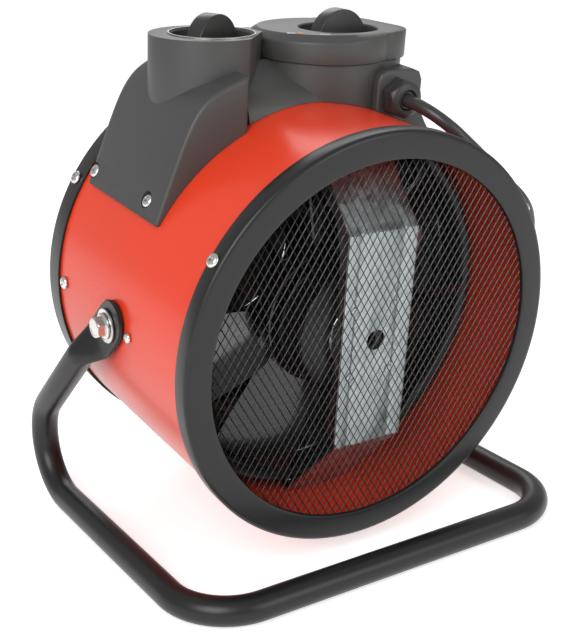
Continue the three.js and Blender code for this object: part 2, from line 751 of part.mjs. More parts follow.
// A round hole or peg square to the deck
function onDeck(knob, radius, bottom, top, count = 20) {
  return solid(post(radius, knob.x, deckLocalY(knob), bottom, top, count).applyMatrix4(deck.matrix));
}
const deckLocalY = (knob) => (knob.y - towerY) / Math.cos(rad(deckSlope));

const barrelSpace = solid(rod(bandInner, -10, drumLength + 10, drumSides));
const screwSinks = screwKinds.filter((kind) => kind.name.startsWith('housing')).flatMap(({ depth, angle }) =>
  sides.map(([, side]) => solid(radial(rod(screwHeadRadius + 0.8, footRadius, footRadius + 40, 8), depth, side * angle))));

const spindleHole = spindleRadius + 0.4;
const recessFloor = recessDepth + housingWall;
const glandAngle = THREE.MathUtils.radToDeg(Math.atan2(glandX, glandHeight));
const glandHole = rod(glandStud + fit, housingFront - 5, housingFront + 8, 16).translate(glandX, 0, glandHeight);

function controlHousing() {
  const capSpace = rightTower(capOverhang + fit, capSeat, tall);
  const outer = cut(join(skirt(0), leftTower(0, tall), web(0, tall), rightTower(0, towerBase, capSeat)), aboveDeck(0));
  const inner = cut(
    join(skirt(housingWall), leftTower(-housingWall, tall), web(housingWall, tall),
      rightTower(-housingWall, towerBase, capSeat + 1)),
    aboveDeck(deckWall),
    onDeck(leftKnob, recessRadius + housingWall, -recessFloor, 5),
  );
  // the web ends at a wall of its own beside the cap
  const capWallSpace = rightTower(capOverhang + fit + housingWall, capSeat - 4, tall);
  const innerBesideCap = cut(inner, capWallSpace);
  const innerUnderCap = inner.intersect(rightTower(-housingWall, 0, capSeat + 1));
  const innerBelow = inner.intersect(solid(box(-300, 300, -300, 300, 0, capSeat - 4)));
  const shellBody = cut(outer, capSpace, innerBesideCap, innerUnderCap, innerBelow, barrelSpace);
  return cut(
    shellBody, ...screwHoles, ...screwSinks, solid(glandHole),
    onDeck(leftKnob, recessRadius, -recessDepth, 5),
    onDeck(leftKnob, spindleHole, -recessFloor - 2, 5, 12),
  );
}
add(drum, 'control_housing', shell(controlHousing()), finish.blackPlastic());

function controlCap() {
  const outer = cut(rightTower(capOverhang, capSeat + fit, tall), aboveDeck(0));
  const inner = cut(
    rightTower(capOverhang - capWall - fit, capSeat, tall), aboveDeck(deckWall),
    onDeck(rightKnob, recessRadius + housingWall, -recessFloor, 5),
  );
  return cut(
    outer, inner,
    onDeck(rightKnob, recessRadius, -recessDepth, 5),
    onDeck(rightKnob, spindleHole, -recessFloor - 2, 5, 12),
  );
}
add(drum, 'control_cap', shell(controlCap()), finish.blackPlastic());

// ---- Knobs, spindles and the switches under them ---------------------------------------------

const knobBottom = -recessDepth + fit;
const boxTop = -recessFloor - fit;
// A round base with an upright half-round grip, and a blind bore for the spindle
function knob() {
  const base = solid(post(knobBaseRadius, 0, 0, 0, knobBaseThickness, towerSides));
  const half = new THREE.Shape();
  half.absarc(0, 0, gripRadius, 0, Math.PI, false);
  half.closePath();
  const grip = new THREE.ExtrudeGeometry(half, { depth: gripThickness, bevelEnabled: false, curveSegments: 10 });
  grip.translate(0, 0, -gripThickness / 2).rotateX(Math.PI / 2);
  const bore = solid(post(spindleRadius + fit, 0, 0, -1, spindleInKnob + fit, 12));
  return shell(cut(join(base, solid(grip)), bore));
}
for (const [name, place, spindleName] of [
  ['thermostat_knob', leftKnob, 'thermostat_spindle'], ['selector_knob', rightKnob, 'selector_spindle'],
]) {
  const spot = [place.x, deckLocalY(place)];
  add(deck, name, knob(), finish.knobPlastic(), [...spot, knobBottom], [0, 0, rad(place.turn)]);
  const spindle = post(spindleRadius, 0, 0, boxTop + fit, knobBottom + spindleInKnob, 12);
  add(deck, spindleName, spindle, finish.brass(), [...spot, 0]);
}
const ringInner = recessRadius + 0.5;
const dialRing = pipe(ringInner, ringInner + dialRingWidth, fit, fit + dialRingThickness, towerSides);
add(deck, 'dial_ring', dialRing.rotateX(Math.PI / 2), finish.zinc(), [leftKnob.x, deckLocalY(leftKnob), 0]);

// A body under the deck, and lower down clear of the barrel
function underDeck(place, size) {
  const y = deckLocalY(place);
  return box(place.x - size.x / 2, place.x + size.x / 2, y - size.y / 2, y + size.y / 2, boxTop - size.z, boxTop);
}
add(deck, 'thermostat_body', underDeck(leftKnob, thermostatSize), finish.ceramic());
add(deck, 'selector_switch', underDeck(rightKnob, selectorSize), finish.blackPlastic());

const terminalBottom = Math.sqrt(barrelRadius ** 2 - (terminalPlace.x + terminalSize.x / 2) ** 2);
const terminalTop = Math.sqrt(bandInner ** 2 - terminalPlace.x ** 2) + terminalSize.z;
const terminalBlock = cut(
  solid(box(
    terminalPlace.x - terminalSize.x / 2, terminalPlace.x + terminalSize.x / 2,
    terminalPlace.y - terminalSize.y / 2, terminalPlace.y + terminalSize.y / 2,
    terminalBottom, terminalTop,
  )),
  barrelSpace,
);
add(drum, 'terminal_block', shell(terminalBlock), finish.ceramic());

// ---- Cable gland -----------------------------------------------------------------------------

const glandTurn = rad(glandAngle + 30); // a flat of each hexagon faces the barrel
const glandHex = (start, end) => solid(rod(hexRadius(glandAcrossFlats), start, end, 6).rotateY(glandTurn));
const collarBack = housingFront - fit;
const collarFront = collarBack - glandCollar;
const cordBore = solid(rod(cordRadius + 0.35, 0, drumLength, 16));
const glandBody = cut(
  join(
    glandHex(collarFront, collarBack),
    solid(rod(glandStud, collarBack - 1, collarBack + glandStudLength, 16)),
    solid(rod(glandNose, collarFront - glandNoseLength, collarFront + 1, 16)),
  ),
  cordBore,
);
add(drum, 'gland_body', shell(glandBody), finish.rubber(), [glandX, 0, glandHeight]);

const domeBack = collarFront - fit;
const domeFront = domeBack - domeNutLength;
const domeOuter = solid(turnedOnAxis([
  [0, domeFront], [domeNutMouth + 3, domeFront], [hexRadius(glandAcrossFlats), domeFront + 3.5],
  [hexRadius(glandAcrossFlats), domeBack], [0, domeBack],
], 16));
const domeNut = cut(
  glandHex(domeFront, domeBack).intersect(domeOuter),
  solid(rod(domeNutMouth, domeFront - 1, domeBack + 1, 16)),
  solid(rod(glandNose + fit, domeBack - glandNoseLength - 0.2, domeBack + 1, 16)),
);
add(drum, 'gland_dome_nut', shell(domeNut), finish.rubber(), [glandX, 0, glandHeight]);

const locknutFront = housingFront + housingWall + fit;
const locknut = cut(
  glandHex(locknutFront, locknutFront + locknutThickness),
  solid(rod(glandStud + fit, locknutFront - 1, locknutFront + locknutThickness + 1, 16)),
);
add(drum, 'gland_locknut', shell(locknut), finish.rubber(), [glandX, 0, glandHeight]);

// ---- Fasteners -------------------------------------------------------------------------------

const panScrew = (headRadius, length) => turnedOnAxis([
  [0, -length], [screwShank, -length], [screwShank, 0], [headRadius, 0],
  [headRadius * 0.65, screwHeadHeight], [0, screwHeadHeight],
], 6).rotateX(Math.PI / 2);
function addScrew(name, depth, degrees, seat, turn, head = screwHeadRadius, length = screwLength) {
  const angle = rad(degrees);
  const radius = seat + turn * fit;
  const place = [radius * Math.sin(angle), depth, radius * Math.cos(angle)];
  add(drum, name, panScrew(head, length), finish.zinc(), place, [0, angle + (turn < 0 ? Math.PI : 0), 0]);
}
for (const { name, depth, angle, seat, head } of screwKinds) {
  for (const [label, side] of sides) addScrew(`${name}_${label}`, depth, side * angle, seat, 1, head);
}
// These two have their heads inside, on the bracket's lower foot
for (const [label, side] of sides) {
  const padInner = (barrelInner - fit - bracketThickness) * Math.cos(Math.PI / drumSides);
  const length = barrelWall + bracketThickness + 2 * fit + 1;
  addScrew(`bracket_screw_${label}`, bracketScrewDepth, 180 - side * bracketAngle, padInner, -1, screwHeadRadius - 1, length);
}

const eyeThickness = 2 * tubeWall;
const eyeInner = barrelRadius + eyeGap;
const eyeOuter = eyeInner + eyeThickness;
const washerInner = eyeOuter + fit;
const headInner = washerInner + washerThickness + fit;
const nutFace = barrelInner - nutRadius * Math.tan(Math.PI / drumSides) - fit;
const nutBack = nutFace - nutThickness;
for (const [label, side] of sides) {
  const turn = [0, 0, -side * Math.PI / 2];
  const place = [0, pivotFromFace, 0];
  const bolt = join(
    solid(rod(boltRadius, nutBack - 1.5, headInner + 1, 12)),
    solid(rod(boltFlange, headInner, headInner + boltFlangeHeight, 16)),
    solid(rod(hexRadius(boltAcrossFlats), headInner + 1, headInner + boltFlangeHeight + boltHead, 6)),
  );
  add(drum, `tilt_bolt_${label}`, shell(bolt), finish.zinc(), place, turn);
  const washer = pipe(boltRadius + boltHoleGap, washerRadius, washerInner, washerInner + washerThickness, 16);
  add(drum, `tilt_washer_${label}`, washer, finish.zinc(), place, turn);
  add(drum, `tilt_nut_${label}`, pipe(boltRadius + boltHoleGap, nutRadius, nutBack, nutFace, 12), finish.zinc(), place, turn);
}

// ---- Stand -----------------------------------------------------------------------------------

const standHalfWidth = eyeInner + tubeRadius; // middle line of the rails and arms
const barY = -standDepth / 2;
const bendY = standDepth / 2 - rearBend; // middle of the rear bend
const bendZ = tubeRadius + rearBend;
// The arm runs straight from the bolt and touches the rear bend
const armSpan = Math.hypot(bendY - pivotY, pivotHeight - bendZ);
const armDrop = Math.atan2(pivotHeight - bendZ, bendY - pivotY) - Math.asin(rearBend / armSpan);
const armLength = Math.sqrt(armSpan ** 2 - rearBend ** 2);

// Stations down the left half of the tube: middle, two section directions and their half sizes
function standStations() {
  const stations = [];
  const outward = v3(-1, 0, 0);
  const along = v3(0, Math.cos(armDrop), -Math.sin(armDrop));
  const across = v3(0, Math.sin(armDrop), Math.cos(armDrop));
  const endCentre = eyeReach - eyeHalfWidth;
  const station = (s, thick, wide, square) => {
    const x = -(eyeInner + thick);
    const middle = v3(x, pivotY + along.y * s, pivotHeight + along.z * s);
    stations.push({ middle, u: outward, v: across, a: thick, b: wide, square });
  };
  // rounded end of the eye, then its flat, then the taper to the round tube
  for (const degrees of [12, 50, 90]) {
    const s = -endCentre - eyeHalfWidth * Math.cos(rad(degrees));
    station(s, eyeThickness / 2, eyeHalfWidth * Math.sin(rad(degrees)), 1);
  }
  station(eyeFlat, eyeThickness / 2, eyeHalfWidth, 1);
  for (const part of [0.5, 1]) {
    const ease = part * part * (3 - 2 * part);
    station(
      eyeFlat + eyeTaper * part, THREE.MathUtils.lerp(eyeThickness / 2, tubeRadius, ease),
      THREE.MathUtils.lerp(eyeHalfWidth, tubeRadius, ease), 1 - ease,
    );
  }
  const round = (middle, u, v) => stations.push({ middle, u, v, a: tubeRadius, b: tubeRadius, square: 0 });
  // rear bend, from the arm's slope down to the floor
  const bendSteps = 5;
  const bendStart = Math.PI / 2 - armDrop;
  for (let i = 0; i <= bendSteps; i++) {
    const angle = THREE.MathUtils.lerp(bendStart, -Math.PI / 2, i / bendSteps);
    const spoke = v3(0, Math.cos(angle), Math.sin(angle));
    const middle = v3(-standHalfWidth, bendY, bendZ).addScaledVector(spoke, rearBend);
    round(middle, outward, spoke);
  }
  // front corner, seen from above
  const cornerSteps = 4;
  for (let i = 0; i <= cornerSteps; i++) {
    const angle = (Math.PI / 2) * (i / cornerSteps);
    const spoke = v3(-Math.cos(angle), -Math.sin(angle), 0);
    const centre = v3(-standHalfWidth + frontBend, barY + frontBend, tubeRadius);
    round(centre.addScaledVector(spoke, frontBend), spoke, v3(0, 0, -1));
  }
  return stations;
}
// A section with flats below, above and on both sides; square ones have sharper corners
function sectionRing({ middle, u, v, a, b, square }, inset) {
  const power = 1 - 0.85 * square;
  const flats = 1 / Math.cos(Math.PI / tubeSides);
  return Array.from({ length: tubeSides }, (_, i) => {
    const angle = (2 * Math.PI * (i + 0.5)) / tubeSides;
    const [c, s] = [Math.cos(angle), Math.sin(angle)];
    const grow = THREE.MathUtils.lerp(flats, 1, square);
    const x = Math.sign(c) * Math.abs(c) ** power * grow * (a - inset);
    const y = Math.sign(s) * Math.abs(s) ** power * grow * (b - inset);
    return middle.clone().addScaledVector(u, x).addScaledVector(v, y);
  });
}
const mirrorX = (p) => v3(-p.x, p.y, p.z);
function bothHalves(rings) {
  // the right half meets the left across the front bar, ring by ring
  const right = rings.map((ring) => ring.map(mirrorX)).reverse();
  return [...rings, ...right];
}
function standTube() {
  const stations = standStations();
  const whole = solid(loft(bothHalves(stations.map((s) => sectionRing(s, 0)))));
  const hollowFrom = stations.findIndex((s) => s.a === tubeRadius);
  const hollow = solid(loft(bothHalves(stations.slice(hollowFrom).map((s) => sectionRing(s, tubeWall)))));
  const bolts = [-1, 1].map((side) => {
    const hole = rod(boltRadius + boltHoleGap + 0.1, 0, standHalfWidth + 20, 12).rotateZ(-side * Math.PI / 2);
    return solid(hole.translate(0, pivotY, pivotHeight));
  });
  const drain = solid(rod(drainHole, barY, barY + tubeRadius + 5, 8).translate(0, 0, tubeRadius));
  return cut(whole, hollow, ...bolts, drain);
}
add(heater, 'stand_tube', shell(standTube()), finish.blackPaint());

// ---- Power cord ------------------------------------------------------------------------------

const glandExit = v3(glandX, housingFront + glandStudLength, glandHeight);
const glandMouth = v3(glandX, domeFront, glandHeight);
const inWorld = (p) => drum.localToWorld(p.clone());
const coilZ = cordRadius + cordFloat;
// Middle line of the coil: in along the lower layer, up, and out along the upper one
function coilPoint(turn) {
  const reach = Math.abs(coilTurns - turn);
  const radius = coilInner + coilPitch * reach;
  const angle = rad(coilStart) + 2 * Math.PI * turn;
  const climb = THREE.MathUtils.smoothstep(turn, coilTurns - 0.25, coilTurns + 0.25);
  const lift = THREE.MathUtils.smoothstep(turn, 2 * coilTurns - 0.45, 2 * coilTurns);
  const plugLift = plugRadius - (coilZ + coilPitch);
  return v3(
    coilCentre.x + radius * Math.cos(angle), coilCentre.y + radius * Math.sin(angle),
    coilZ + coilPitch * climb + plugLift * lift,
  );
}
const flatDirection = (from, to) => v3(to.x - from.x, to.y - from.y, 0).normalize();
const tail = 2.4 * cordRadius; // straight length at each end of the coil
const coilLine = [];
for (let i = 0; i <= 2 * coilTurns * coilSteps; i++) coilLine.push(coilPoint(i / coilSteps));
const coilIn = flatDirection(coilLine[0], coilLine[1]);
const coilOut = flatDirection(coilLine.at(-2), coilLine.at(-1));
coilLine.unshift(coilLine[0].clone().addScaledVector(coilIn, -tail));
coilLine.push(coilLine.at(-1).clone().addScaledVector(coilOut, tail));

// One unbroken tube round the coil's middle line
function coilTube(line) {
  const rings = line.map((p, i) => {
    const before = i ? v3().subVectors(p, line[i - 1]).normalize() : coilIn;
    const after = i + 1 < line.length ? v3().subVectors(line[i + 1], p).normalize() : coilOut;
    const along = v3().addVectors(before, after).normalize();
    const level = v3(along.y, -along.x, 0).normalize();
    const up = v3().crossVectors(level, along);
    return Array.from({ length: coilSides }, (_, k) => {
      const angle = (2 * Math.PI * (k + 0.5)) / coilSides;
      const [c, s] = [Math.cos(angle) * cordRadius, Math.sin(angle) * cordRadius];
      return p.clone().addScaledVector(level, c).addScaledVector(up, s);
    });
  });
  return loft(rings);
}
add(heater, 'cord_coil', coilTube(coilLine), finish.rubber());

// Least gap between turns, measured on points of the middle line that are half a turn or more apart
let leastGap = Infinity;
for (let i = 0; i < coilLine.length; i++) {
  for (let k = i + coilSteps / 2; k < coilLine.length; k++) {
    leastGap = Math.min(leastGap, coilLine[i].distanceTo(coilLine[k]) - 2 * cordRadius);
  }
}
console.log(`coil: least gap to itself ${leastGap.toFixed(2)} mm`);

// The free stretch: out of the gland, round behind the rim, down beside the barrel to the floor
const coilJoin = coilLine[0].clone().addScaledVector(coilIn, -fit);
const outOfGland = inWorld(glandMouth).sub(inWorld(glandExit)).normalize();
const downBesideRim = v3(0.73, 0, -0.685);
const bend = [-17, 0, 17, 34, 51, 68, 85].map((degrees) => inWorld(glandMouth)
  .addScaledVector(outOfGland, cordBend * Math.sin(rad(degrees)))
  .addScaledVector(downBesideRim, degrees > 0 ? cordBend * (1 - Math.cos(rad(degrees))) : 0));
// [degrees from the top, distance from the barrel's surface, distance along the drum]
const besideDrum = [
  [46.1, 6.1, 27.7], [57, 6.6, 26.9], [68.1, 11.2, 28.7], [78.4, 14.6, 35.3], [90, 16.5, 48.5],
  [102.4, 19.1, 71.4], [114.2, 25.7, 102.4], [125.3, 36.2, 135.3], [135.2, 49.3, 164.4], [141.6, 61.6, 190.3],
].map(([degrees, gap, depth]) => {
  const reach = barrelRadius + gap;
  return inWorld(v3(Math.sin(rad(degrees)) * reach, depth, Math.cos(rad(degrees)) * reach));
});
const route = [
  inWorld(glandExit), ...bend, ...besideDrum,
  v3(117, 138, coilZ + 1), coilJoin.clone().addScaledVector(coilIn, -24), coilJoin,
];
const cordCurve = new THREE.CatmullRomCurve3(route, false, 'centripetal');
const cordSection = new THREE.Shape(circlePoints(cordRadius, cordSides));
add(heater, 'power_cord', new THREE.ExtrudeGeometry(cordSection, {
  steps: cordSteps, extrudePath: cordCurve, bevelEnabled: false,
}), finish.rubber());

let coilLength = 0;
for (let i = 1; i < coilLine.length; i++) coilLength += coilLine[i].distanceTo(coilLine[i - 1]);
console.log(`cord: free ${cordCurve.getLength().toFixed(0)} mm, coil ${coilLength.toFixed(0)} mm`);

// Plug, lying beside the coil with its pins away from it
const plugStart = coilLine.at(-1).clone().addScaledVector(coilOut, fit);
const plug = new THREE.Group();
plug.position.copy(plugStart);
plug.rotation.z = Math.atan2(coilOut.y, coilOut.x) - Math.PI / 2; // its own +Y runs along the cord
heater.add(plug);
const plugEnd = plugNeckLength + plugLength;
const plugBody = turnedOnAxis([
  [0, 0], [plugNeck, 0], [plugNeck + 1.5, plugNeckLength], [plugRadius - 2, plugNeckLength + 9],
  [plugRadius, plugNeckLength + 14], [plugRadius, plugEnd], [0, plugEnd],
], 16).rotateY(Math.PI / 16);
add(plug, 'plug_body', plugBody, finish.rubber());
for (const [label, side] of sides) {
  const pin = rod(pinRadius, plugEnd + fit, plugEnd + fit + pinLength, 8);
  add(plug, `plug_pin_${label}`, pin, finish.brass(), [(side * pinSpacing) / 2, 0, 0]);
}

export default heater;
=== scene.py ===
"""Looks of a forced air heater: a red drum on a tilting tube stand, with a black control housing on top.

Every piece is built in millimetres in the frame that carries it, the drum's, the deck's or the floor's,
and is then set in the common frame in metres.
"""

import math

import bmesh
import bpy
from bpy.props import FloatProperty, FloatVectorProperty, IntProperty, PointerProperty
from mathutils import Matrix, Vector


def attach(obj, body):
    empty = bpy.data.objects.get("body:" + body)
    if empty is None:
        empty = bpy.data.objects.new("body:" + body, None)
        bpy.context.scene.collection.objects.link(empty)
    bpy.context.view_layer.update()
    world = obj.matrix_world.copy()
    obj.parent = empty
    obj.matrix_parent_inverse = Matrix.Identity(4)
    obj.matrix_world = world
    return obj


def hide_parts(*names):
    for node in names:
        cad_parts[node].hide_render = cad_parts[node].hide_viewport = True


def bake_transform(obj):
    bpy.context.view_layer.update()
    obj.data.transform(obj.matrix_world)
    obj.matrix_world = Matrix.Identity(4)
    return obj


bl_info = {
    "name": "Forced Air Heater",
    "version": (1, 0, 0),
    "blender": (4, 5, 0),
    "location": "3D View > Sidebar > Heater",
    "description": "Builds the looks of a drum heater round its fixed frame",
    "category": "Object",
}

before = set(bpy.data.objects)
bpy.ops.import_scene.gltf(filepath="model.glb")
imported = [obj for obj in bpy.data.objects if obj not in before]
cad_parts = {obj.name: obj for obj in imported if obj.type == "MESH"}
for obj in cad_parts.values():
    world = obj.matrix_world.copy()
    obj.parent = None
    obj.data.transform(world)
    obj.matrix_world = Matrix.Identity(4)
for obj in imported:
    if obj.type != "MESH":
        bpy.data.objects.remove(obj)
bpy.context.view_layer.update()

MM = 0.001
PIVOT = Vector((0, 11.25, 160.3))
PIVOT_DEPTH = 104  # from the drum's front face
REST_TILT = 5.5
DECK_SLOPE = 3
TOWER_Y = 130

SIDES = (("left", -1), ("right", 1))


def shift(x=0, y=0, z=0):
    """A move in millimetres, as a matrix."""
    return Matrix.Translation(Vector((x, y, z)) * MM)


def tilt(degrees, axis):
    return Matrix.Rotation(math.radians(degrees), 4, axis)


FLOOR = Matrix.Identity(4)
DRUM = shift(*PIVOT) @ tilt(REST_TILT, "X") @ shift(y=-PIVOT_DEPTH)


# ---- Modelling -------------------------------------------------------------------------------


def settle():
    """Goes back to object mode with nothing selected."""
    if bpy.context.object and bpy.context.object.mode == "EDIT":
        bpy.ops.object.mode_set(mode="OBJECT")
    bpy.ops.object.select_all(action="DESELECT")


def activate(piece, mode="OBJECT"):
    settle()
    piece.select_set(True)
    bpy.context.view_layer.objects.active = piece
    bpy.ops.object.mode_set(mode=mode)
    return piece


def add(kind, **settings):
    """Adds a primitive and opens it in edit mode, all selected."""
    settle()
    getattr(bpy.ops.mesh, f"primitive_{kind}_add")(**settings)
    bpy.ops.object.mode_set(mode="EDIT")
    return bpy.context.object


def pick(kind, test):
    """Selects the corners, edges or faces that pass the test, which gets their corners in millimetres."""
    bpy.ops.mesh.select_mode(type=kind)
    bpy.ops.mesh.select_all(action="DESELECT")
    mesh = bmesh.from_edit_mesh(bpy.context.object.data)
    parts = {"VERT": mesh.verts, "EDGE": mesh.edges, "FACE": mesh.faces}[kind]
    for part in parts:
        corners = [part] if kind == "VERT" else part.verts
        if test([corner.co / MM for corner in corners]):
            part.select_set(True)
    mesh.select_flush_mode()
    bmesh.update_edit_mesh(bpy.context.object.data)


def pick_all():
    bpy.ops.mesh.select_all(action="SELECT")


def pick_corners(test):
    pick("VERT", lambda places: test(places[0]))


def pick_edges(test):
    """Selects the edges whose every corner passes the test."""
    pick("EDGE", lambda places: all(test(place) for place in places))


def pick_faces(test):
    """Selects the faces whose every corner passes the test."""
    pick("FACE", lambda places: all(test(place) for place in places))


def extrude(x=0, y=0, z=0):
    bpy.ops.mesh.extrude_region_move(TRANSFORM_OT_translate={"value": Vector((x, y, z)) * MM})


def move(x=0, y=0, z=0):
    bpy.ops.transform.translate(value=Vector((x, y, z)) * MM)


def scale(factors, centre=(0, 0, 0)):
    bpy.ops.transform.resize(value=factors, center_override=Vector(centre) * MM)


def spin(degrees, steps, centre=(0, 0, 0), axis=(0, 1, 0), copies=False):
    bpy.ops.mesh.spin(
        steps=steps, angle=-math.radians(degrees), center=Vector(centre) * MM, axis=axis, dupli=copies
    )


def rotate(degrees, centre, axis):
    bpy.ops.transform.rotate(
        value=-math.radians(degrees), orient_axis=axis, orient_type="GLOBAL",
        center_override=Vector(centre) * MM,
    )


def bevel(width, segments=3):
    bpy.ops.mesh.bevel(offset=width * MM, segments=segments, affect="EDGES", clamp_overlap=True)


def inset(width):
    bpy.ops.mesh.inset(thickness=width * MM)


def tidy_mesh(merge=0.004):
    """Merges doubles and turns all faces outwards."""
    pick_all()
    bpy.ops.mesh.remove_doubles(threshold=merge * MM)
    bpy.ops.mesh.normals_make_consistent(inside=False)


def drawn(points, close=False):
    """A line of edges, drawn out corner by corner from one corner of a plane."""
    piece = add("plane", size=MM)
    bpy.ops.mesh.select_mode(type="VERT")
    bpy.ops.mesh.merge(type="CENTER")
    points = [Vector(p) for p in points]
    move(*points[0])
    for before, after in zip(points, points[1:]):
        extrude(*(after - before))
    if close:
        first, last = points[0], points[-1]
        pick_corners(lambda p: (p - first).length < 0.001 or (p - last).length < 0.001)
        bpy.ops.mesh.edge_face_add()
    return piece


def turned(outline, steps=64):
    """A round piece on the drum's axis: an outline of (radius, depth), closed or from axis to axis, spun."""
    piece = drawn([(radius, depth, 0) for radius, depth in outline], close=outline[0][0] > 0)
    pick_all()
    spin(360, steps)
    tidy_mesh()
    return piece


def sheet_cut(points, x=0, y=0, z=0):
    """A flat face with that closed outline, drawn out by an offset."""
    piece = drawn(points, close=True)
    pick_all()
    bpy.ops.mesh.edge_face_add()
    extrude(x, y, z)
    tidy_mesh()
    return piece


def hexagon(flats, start, end):
    """A block of six sides on the drum's axis."""
    return sheet_cut([(x, start, z) for z, x in arc((0, 0), flats / math.sqrt(3), 0, 300, 5)], y=end - start)


def cylinder(spot, radius, depth, turn=(0, 0, 0), vertices=32):
    piece = add(
        "cylinder", vertices=vertices, radius=radius * MM, depth=depth * MM,
        location=Vector(spot) * MM, rotation=turn,
    )
    place(piece, FLOOR)
    return piece


def arc(centre, radius, start, end, steps):
    """Points (x, y) round a centre, with angles in degrees."""
    angles = [math.radians(start + (end - start) * i / steps) for i in range(steps + 1)]
    return [(centre[0] + radius * math.cos(a), centre[1] + radius * math.sin(a)) for a in angles]


def modify(piece, kind, **settings):
    """Adds a modifier, sets it and applies it."""
    activate(piece)
    modifier = piece.modifiers.new(kind.title(), kind)
    for name, value in settings.items():
        setattr(modifier, name, value)
    bpy.ops.object.modifier_apply(modifier=modifier.name)
    return piece


def soften(piece, width, angle):
    """Rounds the edges that are sharper than an angle."""
    limit = math.radians(angle)
    modify(piece, "BEVEL", width=width * MM, segments=2, limit_method="ANGLE", angle_limit=limit)


def combine(piece, operation, *tools):
    """Joins tools to the piece or cuts them out of it, and removes them."""
    for tool in tools:
        modify(piece, "BOOLEAN", object=tool, operation=operation, solver="EXACT")
        bpy.data.meshes.remove(tool.data)
    return piece


def copied(piece, name):
    other = piece.copy()
    other.data = piece.data.copy()
    other.name = name
    bpy.context.collection.objects.link(other)
    return other


def place(piece, matrix):
    """Turns and moves a finished piece into the common frame, and leaves its object at the origin."""
    activate(piece)
    piece.matrix_world = matrix @ piece.matrix_world
    bpy.ops.object.transform_apply(location=True, rotation=True, scale=True)


def finish(piece, name, slot, replaces=(), matrix=DRUM, body="heater", angle=32, look=None):
    """Names, places, smooths and paints a piece, and hangs it on the body that carries it."""
    place(piece, matrix)
    bpy.ops.object.shade_smooth_by_angle(angle=math.radians(angle))
    settle()
    piece.name = piece.data.name = name
    piece.data.materials.clear()
    piece.data.materials.append(finish_of(look or slot))
    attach(piece, body)
    if replaces:
        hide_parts(*replaces)
    return piece


# ---- Materials -------------------------------------------------------------------------------


class Signal:
    """A number that varies over a surface. Sums on it add Math nodes."""

    def __init__(self, nodes, socket):
        self.nodes, self.socket = nodes, socket

    def _math(self, operation, first, second):
        return self.nodes.node("ShaderNodeMath", {"operation": operation}, [first, second])

    def __add__(self, other):
        return self._math("ADD", self, other)

    def __sub__(self, other):
        return self._math("SUBTRACT", self, other)

    def __rsub__(self, other):
        return self._math("SUBTRACT", other, self)

    def __mul__(self, other):
        return self._math("MULTIPLY", self, other)

    __radd__, __rmul__ = __add__, __mul__

    def between(self, low, high):
        """0 up to the low value, 1 from the high one, smooth between."""
        settings = {"interpolation_type": "SMOOTHSTEP"}
        return self.nodes.node("ShaderNodeMapRange", settings, [self, low, high, 0.0, 1.0])


class Nodes:
    """The nodes of a material or of the world."""

    def __init__(self, tree):
        self.tree = tree

    def feed(self, socket, value):
        if isinstance(value, Signal):
            self.tree.links.new(value.socket, socket)
        else:
            socket.default_value = value

    def node(self, kind, settings=None, values=(), output=0, **named):
        node = self.tree.nodes.new(kind)
        for name, value in (settings or {}).items():
            setattr(node, name, value)
        for index, value in enumerate(values):
            self.feed(node.inputs[index], value)
        for name, value in named.items():
            self.feed(node.inputs[name.replace("_", " ")], value)
        return Signal(self, node.outputs[output])

    def seen_by(self, *kinds):
        """1 for either of two kinds of ray."""
        rays = [self.node("ShaderNodeLightPath", output=f"Is {kind} Ray") for kind in kinds]
        return self.node("ShaderNodeMath", {"operation": "MAXIMUM"}, rays)


class Paint(Nodes):
    """One material, with its colour."""

    def __init__(self, name, colour, **shader):
        self.material = bpy.data.materials.new(name)
        self.material.use_nodes = True
        super().__init__(self.material.node_tree)
        self.colour = colour
        self.shader = self.tree.nodes["Principled BSDF"]
        self.set(Base_Color=(*colour, 1), **shader)
        self.object = self.node("ShaderNodeTexCoord", output="Object")

    def set(self, **values):
        for name, value in values.items():
            self.feed(self.shader.inputs[name.replace("_", " ")], value)

    def noise(self, size, detail=3.0, rough=0.55):
        """Cloudy values about 0.5, with features of a size in millimetres."""
        return self.node(
            "ShaderNodeTexNoise", Vector=self.object, Scale=1000 / size, Detail=detail, Roughness=rough
        )

    def shade(self, factor):
        return (*(min(1.0, channel * factor) for channel in self.colour), 1)

    def cover(self, amount, low, high, roughness, relief, height, strength):
        """Spreads a colour between two by an amount, a roughness, and a relief of a height in millimetres."""
        mix = self.tree.nodes.new("ShaderNodeMix")
        mix.data_type = "RGBA"
        self.feed(mix.inputs["Factor"], amount)
        colours = [socket for socket in mix.inputs if socket.type == "RGBA"]
        for socket, value in zip(colours, (low, high)):
            self.feed(socket, value)
        blend = Signal(self, next(socket for socket in mix.outputs if socket.type == "RGBA"))
        normal = self.node("ShaderNodeBump", Height=relief, Distance=height * MM, Strength=strength)
        self.set(Base_Color=blend, Roughness=roughness, Normal=normal)
        return self.material


def paint_gloss(name, colour, roughness, coat, tint):
    """Baked enamel on sheet steel: faint orange peel and slightly uneven gloss."""
    paint = Paint(name, colour, Coat_Weight=coat, Coat_Roughness=0.12, Specular_IOR_Level=0.4)
    drift, dust = paint.noise(60, 4), paint.noise(1.4, 2)
    uneven = roughness + 0.10 * (drift - 0.5) + 0.05 * (dust - 0.5)
    peel = paint.noise(3.2, 2)
    return paint.cover(drift, paint.shade(1 - tint), paint.shade(1 + tint), uneven, peel, 0.02, 0.25)


